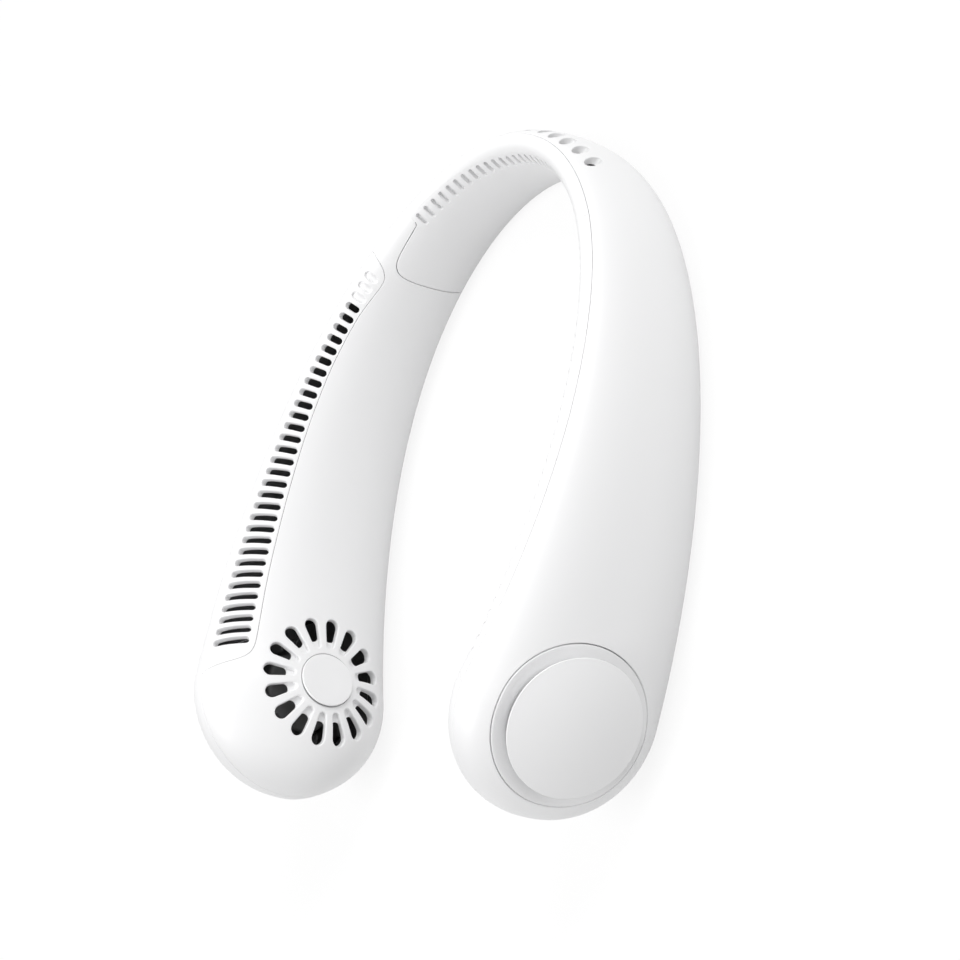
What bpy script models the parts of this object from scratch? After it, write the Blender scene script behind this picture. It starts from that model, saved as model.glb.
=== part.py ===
"""Wearable neck fan: a horseshoe housing with a blower in each round end.

The housing is one closed section carried along a plan curve that starts at the
nape and runs down each arm. Air enters at the inner faces of the two round ends,
and leaves through a row of slots along the crest of each arm.

Units are metres. +Z is up, the nape is at +Y and the gap for the neck opens
towards -Y. The origin is the centre of the box round the fan, on its underside.
Section angles are measured at each station of the plan curve: 0 points out of
the horseshoe, 90 degrees is the crest and 180 degrees points at the neck.
"""
import math

import bmesh
import bpy
import numpy as np
from mathutils import Matrix, Vector

# Plan curve of one arm, from the middle of the nape to the axis of the blower
ARM_LENGTH = 0.1933
HEADING_AT_THIRD = math.radians(56.3)
HEADING_AT_TWO_THIRDS = math.radians(86.2)
HEADING_AT_END = math.radians(105.7)

# Section of the housing
NAPE_HALF_HEIGHT = 0.0140
BULB_RADIUS = 0.0290
HEIGHT_SLOPE = 0.105
UNDERSIDE_ARCH = 0.0009
NAPE_DEPTH = 0.0058
BULB_OUTER_DEPTH = 0.0148
BULB_INNER_DEPTH = 0.0185
DEPTH_SLOPE = 0.112
NAPE_POWER = 2.15
BULB_OUTER_POWER = 2.70
BULB_INNER_POWER = 2.05
OUTER_TAPER = 0.17
INNER_TAPER = 0.23
TIP_POWER = 2.5
WALL = 0.0018
GAP = 0.0003

# Parting lines, as section angles at three shares of the arm's length
LINE_SHARES = (0.310, 0.621, 0.957)
SEAM_ANGLES = (1.15, 1.31, 1.56)
GRILLE_EDGE_ANGLES = (2.335, 2.36, 2.44)
BOTTOM_ANGLE = -math.pi / 2
NOTCH_PAST = 0.25
NOTCH_EASE = 1.3
PAD_EDGE_ANGLES = (2.40, 2.24, 2.38)
PAD_CORNER_ANGLE = 0.40
PAD_DIP = 0.0420
PAD_END = 0.0620
PAD_CORNER = 0.0060

# Mesh steps of the housing
ARM_STEPS = 18
TIP_STEPS = 5
OUTER_SEGMENTS = 6
INNER_SEGMENTS = 7
PAD_SEGMENTS = 5
COVER_SEGMENTS = 24
ROUND_SEGMENTS = 16
SCREW_SEGMENTS = 8
GRILLE_SEGMENTS = 3
GRILLE_STEPS = 14

# Outlet grille: its end shapes are shares of a corner's length and of the full width
GRILLE_THICKNESS = 0.0020
GRILLE_START = 0.0605
GRILLE_SETBACK = 0.0013
GRILLE_START_CORNER = 0.0055
GRILLE_START_SHAPE = ((0.0, 0.30), (0.18, 0.72), (0.55, 0.93), (1.0, 1.0))
GRILLE_END_CORNER = 0.0100
GRILLE_END_SHAPE = ((1.0, 1.0), (0.65, 0.95), (0.43, 0.87), (0.17, 0.36), (0.0, 0.12))
BLIND_SLOT_COUNT = 3
SLOT_MARGIN_START = 0.0151
SLOT_MARGIN_END = 0.0090
SLOT_PITCH = 0.00357
SLOT_WIDTH = 0.0020
SLOT_LENGTH_FIRST = 0.0054
SLOT_LENGTH_LAST = 0.0108
SLOT_ANGLES = (2.02, 2.07, 2.12)
SLOT_SLANT_FIRST = math.radians(31)
SLOT_SLANT_LAST = math.radians(-8)
BLIND_DEPTH = 0.0007
CUT_PAST = 0.0040

# Grooves that hide the upper edge of the neck pad, and holes in the nape
PAD_THICKNESS = 0.0022
GROOVES_A_SIDE = 13
FIRST_GROOVE = 0.0024
GROOVE_PITCH = 0.0033
GROOVE_LENGTH = 0.0048
GROOVE_WIDTH = 0.0017
GROOVE_DEPTH = 0.0008
HOLE_COUNT = 13
HOLE_PITCH = 0.0064
HOLE_DROP = 0.0045
HOLE_REACH = 0.0010
HOLE_LENGTH = 0.0066
HOLE_WIDTH = 0.0038

# Blower axis, and the stack of parts along it; heights are along the axis, outwards
FAN_TOE = math.radians(3)
FAN_TILT = math.radians(8)
FAN_RISE = 0.0005
BEZEL_MARGIN = 0.0073
BEZEL_CHANNEL = 0.0034
CAP_RISE = 0.0011
CAP_DOME = 0.0010
CAP_FLAT_RADIUS = 0.0080
CAP_EDGE = 0.0009
CAP_WALL = 0.0015
CAP_STAND = 0.0045
BEZEL_LIP = 0.0010
BEZEL_FLOOR_DROP = 0.0014
BEZEL_FLOOR = 0.0015
BEZEL_BORE = 0.0070
HOUSING_MARGIN = 0.0021
HOUSING_PLATE = 0.0016
SCROLL_WALL = 0.0010
SCROLL_DEPTH = 0.0115
SCROLL_GATE = math.radians(80)
TUBE_RADIUS = 0.0040
TUBE_LENGTH = 0.0110
BEARING_RADIUS = 0.0025
BEARING_LENGTH = 0.0098
SHAFT_RADIUS = 0.0010
SHAFT_CLEARANCE = 0.00015
STATOR_RADIUS = 0.0085
STATOR_HEIGHT = 0.0060
STATOR_POLES = 9
MAGNET_RADIUS = 0.0102
MAGNET_WALL = 0.0012
HUB_WALL = 0.0012
WHEEL_CLEARANCE = 0.0008
WHEEL_STANDOFF = 0.0026
WHEEL_PLATE = 0.0010
INLET_SPACE = 0.0095
BLADE_COUNT = 15
BLADE_MARGIN = 0.0011
BLADE_SETBACK = 0.0002
BLADE_THICKNESS = 0.0007
BLADE_SWEEP = math.radians(16)
SCREW_MARGIN = 0.0041
SCREW_RADIUS = 0.0008
SCREW_HEAD_RADIUS = 0.0016
SCREW_HEAD_HEIGHT = 0.0010
SCREW_COUNT = 3

# Inlet in the inner face of each round end
BADGE_RADIUS = 0.0082
BADGE_THICKNESS = 0.0006
BADGE_SEAT_DEPTH = 0.0009
PETAL_COUNT = 16
PETAL_REACH = 0.0080
PETAL_RIM = 0.0026
PETAL_MARGIN = 0.0114
PETAL_INNER_WIDTH = 0.0016
PETAL_OUTER_WIDTH = 0.0036

# Parts inside the arms
FLOOR_START_SPACING = 0.0340
FLOOR_END_SPACING = 0.0177
FLOOR_SHARE = 0.35
FLOOR_THICKNESS = 0.0012
BATTERY_SPACING = 0.0055
BATTERY_LENGTH = 0.0420
BATTERY_WIDTH = 0.0180
BATTERY_THICKNESS = 0.0080
BATTERY_OFFSET = -0.0014
BOARD_SPACING = 0.0092
BOARD_LENGTH = 0.0150
BOARD_HEIGHT = 0.0200
BOARD_THICKNESS = 0.0012
BUTTON_RADIUS = 0.0040
BUTTON_LEVEL = 0.0215
BUTTON_PROUD = 0.0003
BUTTON_FLANGE = 0.0008
BUTTON_EDGE = 0.0004
BUTTON_TRAVEL = 0.0005
SWITCH_SIZE = 0.0050
SWITCH_HEIGHT = 0.0011
LED_RADIUS = 0.0008
LED_RISE = 0.0075
SOCKET_WIDTH = 0.0090
SOCKET_THICKNESS = 0.0033
SOCKET_LENGTH = 0.0066
SOCKET_WALL = 0.0004
SOCKET_MOUTH = 0.0026
CABLE_RADIUS = 0.0009
CABLE_STEPS = 37
CABLE_LEAD_IN = 0.0080
LEAD_RADIUS = 0.0007
LEAD_ANGLE = math.radians(20)

# Finishes: colour, roughness, metallic
FINISHES = {
    "white_shell": ((0.86, 0.86, 0.86), 0.42, 0.0),
    "white_pad": ((0.84, 0.84, 0.84), 0.55, 0.0),
    "white_cap": ((0.87, 0.87, 0.87), 0.35, 0.0),
    "grey_plastic": ((0.30, 0.30, 0.31), 0.55, 0.0),
    "dark_wheel": ((0.05, 0.05, 0.055), 0.45, 0.0),
    "steel": ((0.62, 0.62, 0.63), 0.30, 1.0),
    "copper": ((0.72, 0.40, 0.24), 0.35, 1.0),
    "magnet": ((0.12, 0.12, 0.13), 0.50, 0.6),
    "bronze": ((0.60, 0.46, 0.26), 0.40, 1.0),
    "cell_wrap": ((0.45, 0.55, 0.68), 0.45, 0.0),
    "board_green": ((0.05, 0.22, 0.12), 0.50, 0.0),
    "lens": ((0.75, 0.85, 0.90), 0.15, 0.0),
    "cable_black": ((0.04, 0.04, 0.04), 0.60, 0.0),
}


def clear_scene():
    """Remove every object that the file opened with."""
    for thing in list(bpy.data.objects):
        bpy.data.objects.remove(thing, do_unlink=True)


def material(name):
    """Return the Principled material of one finish."""
    found = bpy.data.materials.get(name)
    if found:
        return found
    colour, roughness, metallic = FINISHES[name]
    made = bpy.data.materials.new(name)
    made.use_nodes = True
    shader = made.node_tree.nodes["Principled BSDF"]
    shader.inputs["Base Color"].default_value = (*colour, 1.0)
    shader.inputs["Roughness"].default_value = roughness
    shader.inputs["Metallic"].default_value = metallic
    made.diffuse_color = (*colour, 1.0)
    return made


# Plan curve and section


def heading(station):
    """Heading of the plan curve: a cubic through the three named headings."""
    thirds = np.array([[1 / 3, 1 / 9, 1 / 27], [2 / 3, 4 / 9, 8 / 27], [1, 1, 1]])
    named = np.array([HEADING_AT_THIRD, HEADING_AT_TWO_THIRDS, HEADING_AT_END])
    first, second, third = np.linalg.solve(thirds, named)
    share = np.clip(station / ARM_LENGTH, 0, 1)
    return first * share + second * share**2 + third * share**3


PLAN_STATIONS = np.linspace(0, ARM_LENGTH, 401)
PLAN_HEADINGS = heading(PLAN_STATIONS)
PLAN_STEP = PLAN_STATIONS[1]


def running_sum(values):
    """Integral of values along the plan stations, by the trapezium rule."""
    return np.concatenate([[0], np.cumsum((values[1:] + values[:-1]) / 2 * PLAN_STEP)])


PLAN_X = running_sum(np.cos(PLAN_HEADINGS))
PLAN_Y = -running_sum(np.sin(PLAN_HEADINGS))


def plan_point(station):
    """X, Y and heading of the plan curve, which runs straight past its end."""
    turn = float(heading(station))
    past = max(station - ARM_LENGTH, 0.0)
    x = float(np.interp(station, PLAN_STATIONS, PLAN_X)) + past * math.cos(turn)
    y = float(np.interp(station, PLAN_STATIONS, PLAN_Y)) - past * math.sin(turn)
    return x, y, turn


def eased(station, span, start, end, slope):
    """Cubic from start, level, to end, rising with slope, over span."""
    share = min(max(station / span, 0.0), 1.0)
    blend = 3 * share**2 - 2 * share**3
    return start + (end - start) * blend + slope * span * (share**3 - share**2)


def half_height(station, inset=0.0):
    """Half the section's height: an eased taper that meets the tip's circle."""
    radius = BULB_RADIUS - inset
    lean = math.atan(HEIGHT_SLOPE)
    meet = ARM_LENGTH - radius * math.sin(lean)
    if station < meet:
        return eased(station, meet, NAPE_HALF_HEIGHT - inset, radius * math.cos(lean), HEIGHT_SLOPE)
    return math.sqrt(max(radius**2 - (station - ARM_LENGTH) ** 2, 0.0))


def middle_height(station):
    """Height of the section's middle, so that the underside is a shallow arch."""
    share = min(station / ARM_LENGTH, 1.0)
    tall = half_height(station) if station < ARM_LENGTH else BULB_RADIUS
    return tall + UNDERSIDE_ARCH * math.sin(math.pi * share)


def side_shape(station, outer):
    """Depth of one side of the section, with its power and its taper."""
    share = min(station / ARM_LENGTH, 1.0)
    depth = BULB_OUTER_DEPTH if outer else BULB_INNER_DEPTH
    power = BULB_OUTER_POWER if outer else BULB_INNER_POWER
    taper = OUTER_TAPER if outer else INNER_TAPER
    depth = eased(station, ARM_LENGTH, NAPE_DEPTH, depth, DEPTH_SLOPE)
    return depth, NAPE_POWER + (power - NAPE_POWER) * share**2, taper * share


def tip_share(station, inset):
    """Share of the section that is left at a station past the blower's axis."""
    past = min(max(station - ARM_LENGTH, 0.0) / (BULB_RADIUS - inset), 1.0)
    return (1 - past**TIP_POWER) ** (1 / TIP_POWER)


def surface_point(station, angle, inset=0.0, shift=0.0, side=1):
    """Point of the housing's surface, drawn in by inset and moved out by shift."""
    x, y, turn = plan_point(station)
    outer = math.cos(angle) > 0
    depth, power, taper = side_shape(station, outer)
    across = math.copysign(abs(math.cos(angle)) ** (2 / power), math.cos(angle))
    along = math.copysign(abs(math.sin(angle)) ** (2 / power), math.sin(angle))
    out = (depth - inset) * tip_share(station, inset) * across * (1 - taper * along) + shift
    up = middle_height(station) + half_height(station, inset) * along
    return Vector((side * (x + out * math.sin(turn)), y + out * math.cos(turn) - PLAN_CENTRE, up))


def wall_offset(station, level, outer, inset):
    """How far out the surface lies at one level of the section, without a sign."""
    depth, power, taper = side_shape(station, outer)
    along = (level - middle_height(station)) / half_height(station, inset)
    along = min(max(along, -1.0), 1.0)
    return (depth - inset) * (1 - abs(along) ** power) ** (1 / power) * (1 - taper * along)


PLAN_CENTRE = 0.0
NAPE_BACK = NAPE_DEPTH
TIP_REACH = min(
    surface_point(ARM_LENGTH + BULB_RADIUS * math.sin(step), sector, side=1).y
    for step in np.linspace(0, math.pi / 2, 60)
    for sector in np.linspace(0, 2 * math.pi, 72)
)
PLAN_CENTRE = (NAPE_BACK + TIP_REACH) / 2


def along_arm(values, station):
    """Read one of the parting lines at a station."""
    return float(np.interp(station / ARM_LENGTH, LINE_SHARES, values))


def seam_angle(station):
    return along_arm(SEAM_ANGLES, station)


def arc_rate(station, angle):
    """Surface length per radian of section angle."""
    step = 0.01
    span = surface_point(station, angle + step) - surface_point(station, angle - step)
    return max(span.length / (2 * step), NAPE_DEPTH)


def gap_angle(station, angle):
    """Section angle that spans one fitting gap."""
    return GAP / arc_rate(min(station, ARM_LENGTH), angle)


def surface_frame(station, angle, side=1):
    """Point, direction along the arm, direction round the section, and outward normal."""
    step = 0.0004
    turn = 0.01

    def at(place, section_angle):
        return surface_point(place, section_angle, side=side)

    ahead = at(station + step, angle) - at(station - step, angle)
    round_way = at(station, angle + turn) - at(station, angle - turn)
    normal = ahead.cross(round_way).normalized() * -side
    return at(station, angle), ahead.normalized(), round_way.normalized(), normal


# Mesh tools


def finish(name, mesh_data, finish_name, origin=Vector((0, 0, 0))):
    """Turn a bmesh into a named object whose origin is at the given point."""
    bmesh.ops.remove_doubles(mesh_data, verts=mesh_data.verts, dist=1e-6)
    bmesh.ops.recalc_face_normals(mesh_data, faces=mesh_data.faces)
    bmesh.ops.translate(mesh_data, verts=mesh_data.verts, vec=-origin)
    mesh = bpy.data.meshes.new(name)
    mesh_data.to_mesh(mesh)
    mesh_data.free()
    mesh.shade_smooth()
    mesh.set_sharp_from_angle(angle=math.radians(35))
    thing = bpy.data.objects.new(name, mesh)
    thing.location = origin
    bpy.context.collection.objects.link(thing)
    if finish_name:
        mesh.materials.append(material(finish_name))
    return thing


def cutter(name, mesh_data):
    """A helper solid that only cuts or joins, left out of the part."""
    thing = finish(name, mesh_data, None)
    thing.hide_render = True
    thing.display_type = "WIRE"
    return thing


def combine(target, tool, operation="DIFFERENCE"):
    """Cut a tool out of a target, or join it on."""
    modifier = target.modifiers.new(tool.name, "BOOLEAN")
    modifier.operation = operation
    modifier.solver = "EXACT"
    modifier.object = tool


def patch(stations, low_edge, high_edge, segments, outer_inset, inner_inset, shift=0.0):
    """Closed solid between two insets of the surface; negative stations are the left arm."""
    mesh_data = bmesh.new()
    layers = []
    for inset in (outer_inset, inner_inset):
        rings = []
        for station in stations:
            side = -1 if station < 0 else 1
            place = abs(station)
            if place > ARM_LENGTH:
                place = ARM_LENGTH + (place - ARM_LENGTH) * (BULB_RADIUS - inset) / BULB_RADIUS
            level = min(place, ARM_LENGTH)
            angles = np.linspace(low_edge(level), high_edge(level), segments + 1)
            points = [surface_point(place, float(angle), inset, shift, side) for angle in angles]
            rings.append([mesh_data.verts.new(point) for point in points])
        layers.append(rings)
    outer, inner = layers
    for index in range(len(stations) - 1):
        for rings in layers:
            for step in range(segments):
                mesh_data.faces.new((rings[index][step], rings[index + 1][step],
                                     rings[index + 1][step + 1], rings[index][step + 1]))
        for edge in (0, segments):
            mesh_data.faces.new((outer[index][edge], outer[index + 1][edge],
                                 inner[index + 1][edge], inner[index][edge]))
    for index in (0, -1):
        for step in range(segments):
            mesh_data.faces.new((outer[index][step], outer[index][step + 1],
                                 inner[index][step + 1], inner[index][step]))
    return mesh_data


def housing_stations():
    """Stations from one tip to the other, closer together round the tips."""
    arm = [ARM_LENGTH * step / ARM_STEPS for step in range(ARM_STEPS + 1)]
    tip = [ARM_LENGTH + BULB_RADIUS * math.sin(math.pi / 2 * step / TIP_STEPS)
           for step in range(1, TIP_STEPS + 1)]
    half = arm[1:] + tip
    return [-station for station in reversed(half)] + [0.0] + half


def prism(mesh_data, outline, point, axes, low, high):
    """Add a prism: a flat outline in the first two axes, carried along the third."""
    first, second, third = axes
    rings = []
    for depth in (low, high):
        ring = [point + first * u + second * v + third * depth for u, v in outline]
        rings.append([mesh_data.verts.new(corner) for corner in ring])
    mesh_data.faces.new(rings[0])
    mesh_data.faces.new(rings[1])
    count = len(outline)
    for index in range(count):
        after = (index + 1) % count
        mesh_data.faces.new((rings[0][index], rings[0][after], rings[1][after], rings[1][index]))


def stadium(length, width, steps=2):
    """Outline of a slot with round ends, its length along the first axis."""
    radius = width / 2
    straight = length / 2 - radius
    points = []
    for end in (1, -1):
        for step in range(steps + 1):
            turn = -math.pi / 2 + math.pi * step / steps
            points.append((end * (straight + radius * math.cos(turn)), end * radius * math.sin(turn)))
    return points


def turned(profile, matrix, segments=ROUND_SEGMENTS):
    """Closed solid turned about the local Z axis from a closed outline of (radius, height)."""
    mesh_data = bmesh.new()
    verts = [mesh_data.verts.new((radius, 0.0, height)) for radius, height in profile]
    edges = [mesh_data.edges.new(pair) for pair in zip(verts, verts[1:] + verts[:1])]
    bmesh.ops.spin(mesh_data, geom=verts + edges, cent=(0, 0, 0), axis=(0, 0, 1), angle=2 * math.pi,
                   steps=segments, use_merge=True)
    bmesh.ops.remove_doubles(mesh_data, verts=mesh_data.verts, dist=1e-7)
    flat = [face for face in mesh_data.faces if face.calc_area() < 1e-14]
    bmesh.ops.delete(mesh_data, geom=flat, context="FACES")
    loose = [edge for edge in mesh_data.edges if not edge.link_faces]
    bmesh.ops.delete(mesh_data, geom=loose, context="EDGES")
    bmesh.ops.transform(mesh_data, matrix=matrix, verts=mesh_data.verts)
    return mesh_data


def block(size, centre, matrix, bevel=0.0):
    """Box of a given size round a centre, in the local axes of a matrix."""
    mesh_data = bmesh.new()
    bmesh.ops.create_cube(mesh_data, size=1.0)
    bmesh.ops.scale(mesh_data, vec=size, verts=mesh_data.verts)
    if bevel:
        bmesh.ops.bevel(mesh_data, geom=mesh_data.edges[:], offset=bevel, segments=1, affect="EDGES")
    bmesh.ops.translate(mesh_data, verts=mesh_data.verts, vec=centre)
    bmesh.ops.transform(mesh_data, matrix=matrix, verts=mesh_data.verts)
    return mesh_data


def tube(name, points, radius, finish_name):
    """Round cable along a list of points, with filled ends."""
    curve = bpy.data.curves.new(name, "CURVE")
    curve.dimensions = "3D"
    curve.bevel_depth = radius
    curve.bevel_resolution = 1
    curve.use_fill_caps = True
    spline = curve.splines.new("POLY")
    spline.points.add(len(points) - 1)
    for target, point in zip(spline.points, points):
        target.co = (*point, 1.0)
    curve.materials.append(material(finish_name))
    thing = bpy.data.objects.new(name, curve)
    bpy.context.collection.objects.link(thing)
    return thing


def mirrored(matrix, side):
    """The same placing for the right arm, or its mirror image for the left."""
    return matrix if side > 0 else Matrix.Scale(-1, 4, (1, 0, 0)) @ matrix


def arm_matrix(station, side):
    """Local axes at a station: X along the arm, Y out of the horseshoe, Z up."""
    x, y, turn = plan_point(station)
    along = Vector((math.cos(turn), -math.sin(turn), 0))
    out = Vector((math.sin(turn), math.cos(turn), 0))
    matrix = Matrix((along, out, Vector((0, 0, 1)))).transposed().to_4x4()
    matrix.translation = Vector((x, y - PLAN_CENTRE, 0))
    return mirrored(matrix, side)


def fan_matrix(side):
    """Local axes of a blower: Z along its axis, outwards, and X along the arm."""
    x, y, turn = plan_point(ARM_LENGTH)
    turn += FAN_TOE
    level = math.cos(FAN_TILT)
    axis = Vector((math.sin(turn) * level, math.cos(turn) * level, math.sin(FAN_TILT)))
    along = Vector((math.cos(turn), -math.sin(turn), 0))
    matrix = Matrix((along, axis.cross(along), axis)).transposed().to_4x4()
    matrix.translation = Vector((x, y - PLAN_CENTRE, BULB_RADIUS + FAN_RISE))
    return mirrored(matrix, side)


SIDES = (("left", -1), ("right", 1))

# Stations along the arm that follow from the driving sizes
GRILLE_END = ARM_LENGTH - GRILLE_SETBACK
FIRST_SLOT = GRILLE_START + SLOT_MARGIN_START
SLOT_COUNT = int((GRILLE_END - SLOT_MARGIN_END - FIRST_SLOT) / SLOT_PITCH) + 1
BEZEL_RADIUS = BULB_RADIUS - BEZEL_MARGIN
CAP_RADIUS = BEZEL_RADIUS - BEZEL_CHANNEL
HOUSING_RADIUS = BEZEL_RADIUS - HOUSING_MARGIN
BOARD_STATION = ARM_LENGTH - HOUSING_RADIUS - BOARD_SPACING - BOARD_LENGTH / 2
BATTERY_STATION = BOARD_STATION - BOARD_LENGTH / 2 - BATTERY_SPACING - BATTERY_LENGTH / 2
FLOOR_START = BATTERY_STATION - BATTERY_LENGTH / 2 - FLOOR_START_SPACING
FLOOR_END = ARM_LENGTH - HOUSING_RADIUS - FLOOR_END_SPACING

# Heights along the blower's axis that several parts share
CAP_RIM_HEIGHT = BULB_OUTER_DEPTH + CAP_RISE
CAP_FOOT = CAP_RIM_HEIGHT - CAP_STAND - BEZEL_FLOOR_DROP + GAP
BEZEL_TOP = CAP_RIM_HEIGHT - CAP_STAND
BEZEL_FLOOR_TOP = BEZEL_TOP - BEZEL_FLOOR_DROP
BEZEL_BASE = BEZEL_FLOOR_TOP - BEZEL_FLOOR
PLATE_TOP = BEZEL_BASE - GAP
PLATE_BASE = PLATE_TOP - HOUSING_PLATE
TUBE_END = PLATE_BASE - TUBE_LENGTH
TUBE_BORE = BEARING_RADIUS + GAP
STATOR_TOP = PLATE_BASE - GAP
HUB_INNER_RADIUS = MAGNET_RADIUS + GAP
HUB_RADIUS = HUB_INNER_RADIUS + HUB_WALL
HUB_TOP = TUBE_END - 2 * GAP
SHAFT_BORE = SHAFT_RADIUS + GAP
SCREW_CIRCLE = HOUSING_RADIUS - SCREW_MARGIN
WHEEL_RADIUS = HOUSING_RADIUS - SCROLL_WALL - WHEEL_CLEARANCE
WHEEL_BACK = PLATE_BASE - WHEEL_STANDOFF
WHEEL_FRONT = INLET_SPACE + WALL - BULB_INNER_DEPTH
BLADE_INNER_RADIUS = HUB_RADIUS + BLADE_MARGIN
PETAL_INNER_RADIUS = BADGE_RADIUS + PETAL_RIM
PETAL_OUTER_RADIUS = BULB_RADIUS - PETAL_MARGIN


# Housing


def nape_hole_angle(station):
    """Section angle of the outer face at the level of the nape's holes."""
    level = 2 * NAPE_HALF_HEIGHT - HOLE_DROP
    share = (level - middle_height(station)) / half_height(station)
    return math.asin(min(max(share, 0.0), 0.98) ** (NAPE_POWER / 2))


def nape_holes():
    """Cutter for the row of oval holes in the outer face of the nape."""
    mesh_data = bmesh.new()
    for index in range(HOLE_COUNT):
        place = (index - (HOLE_COUNT - 1) / 2) * HOLE_PITCH
        side = -1 if place < 0 else 1
        station = max(abs(place), 0.0005)
        point, ahead, round_way, normal = surface_frame(station, nape_hole_angle(station), side)
        prism(mesh_data, stadium(HOLE_LENGTH, HOLE_WIDTH), point, (round_way, ahead, normal),
              -(WALL + HOLE_REACH), CUT_PAST)
    return cutter("cut_nape_holes", mesh_data)


def outer_shell():
    """Outer half of the housing, from the seam on the crest to the underside."""
    low = lambda station: BOTTOM_ANGLE
    mesh_data = patch(housing_stations(), low, seam_angle, OUTER_SEGMENTS, 0.0, WALL, GAP / 2)
    shell = finish("outer_shell", mesh_data, "white_shell")
    combine(shell, nape_holes())
    for name, side in SIDES:
        reach = [(0.0, PLATE_BASE), (BEZEL_RADIUS + GAP, PLATE_BASE),
                 (BEZEL_RADIUS + GAP, CAP_RIM_HEIGHT * 2), (0.0, CAP_RIM_HEIGHT * 2)]
        combine(shell, cutter("cut_bezel_" + name, turned(reach, fan_matrix(side), COVER_SEGMENTS)))
    for tool in control_openings():
        combine(shell, tool)
    return shell


def pad_edge(station):
    """Upper edge of the neck pad, with a rounded corner at its end."""
    past = min(max(station - (PAD_END - PAD_CORNER), 0.0) / PAD_CORNER, 1.0)
    edge = float(np.interp(station, (0.0, PAD_DIP, PAD_END - PAD_CORNER), PAD_EDGE_ANGLES))
    return edge + PAD_CORNER_ANGLE * (1 - math.sqrt(1 - past**2))


def pad_stations():
    """Stations across the pad, closer together at its rounded corners."""
    straight = PAD_END - PAD_CORNER
    half = [PAD_DIP * step / 4 for step in range(1, 5)]
    half += [straight + PAD_CORNER * math.sin(math.pi / 2 * step / 3) for step in range(4)]
    return [-station for station in reversed(half)] + [0.0] + half


def grooves():
    """Cutter for the shallow grooves along the upper edge of the neck pad."""
    mesh_data = bmesh.new()
    for side in (-1, 1):
        for index in range(GROOVES_A_SIDE):
            station = FIRST_GROOVE + GROOVE_PITCH * index
            point, ahead, round_way, normal = surface_frame(station, pad_edge(station), side)
            prism(mesh_data, stadium(GROOVE_LENGTH, GROOVE_WIDTH), point, (round_way, ahead, normal),
                  -GROOVE_DEPTH, CUT_PAST)
    return mesh_data


def neck_pad():
    """Panel against the back of the neck, let into the inner shell."""
    low = lambda station: pad_edge(station)
    high = lambda station: BOTTOM_ANGLE + 2 * math.pi
    mesh_data = patch(pad_stations(), low, high, PAD_SEGMENTS, 0.0, PAD_THICKNESS, -GAP / 2)
    pad = finish("neck_pad", mesh_data, "white_pad")
    combine(pad, cutter("cut_grooves_pad", grooves()))
    return pad


def grille_corners():
    """Stations of the points that shape the grille's two ends."""
    starts = [GRILLE_START + GRILLE_START_CORNER * share for share, _ in GRILLE_START_SHAPE]
    ends = [GRILLE_END - GRILLE_END_CORNER * share for share, _ in GRILLE_END_SHAPE]
    return starts, ends


def grille_edge(station):
    """Inner edge of the outlet grille, drawn in to the seam at both ends."""
    starts, ends = grille_corners()
    shares = [share for _, share in GRILLE_START_SHAPE + GRILLE_END_SHAPE]
    share = float(np.interp(station, starts + ends, shares))
    seam = seam_angle(station)
    return seam + (along_arm(GRILLE_EDGE_ANGLES, station) - seam) * share


def grille_stations():
    """Stations along the grille, with every corner of its outline among them."""
    starts, ends = grille_corners()
    middle = [starts[-1] + (ends[0] - starts[-1]) * step / GRILLE_STEPS for step in range(1, GRILLE_STEPS)]
    return starts + middle + ends


def grille_notch(side):
    """Cutter for the notch in the inner shell that takes a grille."""
    middle = (GRILLE_START + GRILLE_END) / 2
    stretch = 1 + GAP / ((GRILLE_END - GRILLE_START) / 2)
    low = lambda station: seam_angle(station) - NOTCH_PAST

    def high(station):
        edge = grille_edge(middle + (station - middle) / stretch)
        return edge + NOTCH_EASE * gap_angle(station, edge)

    stations = [side * (middle + (station - middle) * stretch) for station in grille_stations()]
    return patch(stations, low, high, GRILLE_SEGMENTS, -CUT_PAST, WALL + CUT_PAST, -GAP / 2)


def petals(side):
    """Cutter for the ring of inlet slots round the hub of the inner face."""
    mesh_data = bmesh.new()
    point, ahead, round_way, normal = surface_frame(ARM_LENGTH, math.pi, side)
    across = normal.cross(ahead).normalized()
    for index in range(PETAL_COUNT):
        turn = 2 * math.pi * (index + 0.5) / PETAL_COUNT
        radial = ahead * math.cos(turn) + across * math.sin(turn)
        cross = normal.cross(radial)
        bulge = PETAL_OUTER_WIDTH / 2
        outline = [(PETAL_INNER_RADIUS, -PETAL_INNER_WIDTH / 2), (PETAL_OUTER_RADIUS - bulge, -bulge),
                   (PETAL_OUTER_RADIUS, -bulge * 0.4), (PETAL_OUTER_RADIUS, bulge * 0.4),
                   (PETAL_OUTER_RADIUS - bulge, bulge), (PETAL_INNER_RADIUS, PETAL_INNER_WIDTH / 2)]
        prism(mesh_data, outline, point, (radial, cross, normal), -PETAL_REACH, CUT_PAST)
    return mesh_data


def badge_matrix(side):
    """Local axes at the hub of the inner face: Z out of the face, towards the neck."""
    point, ahead, round_way, normal = surface_frame(ARM_LENGTH, math.pi, side)
    matrix = Matrix((ahead, normal.cross(ahead), normal)).transposed().to_4x4()
    matrix.translation = point
    return matrix


def pad_notch():
    """Cutter for the notch in the inner shell that takes the neck pad."""
    stretch = 1 + GAP / PAD_END
    high = lambda station: BOTTOM_ANGLE + 2 * math.pi + NOTCH_PAST

    def low(station):
        edge = pad_edge(station / stretch)
        return edge - NOTCH_EASE * gap_angle(station, edge)

    stations = [station * stretch for station in pad_stations()]
    return patch(stations, low, high, PAD_SEGMENTS, -PAD_THICKNESS, WALL + PAD_THICKNESS, -GAP / 2)


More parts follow.
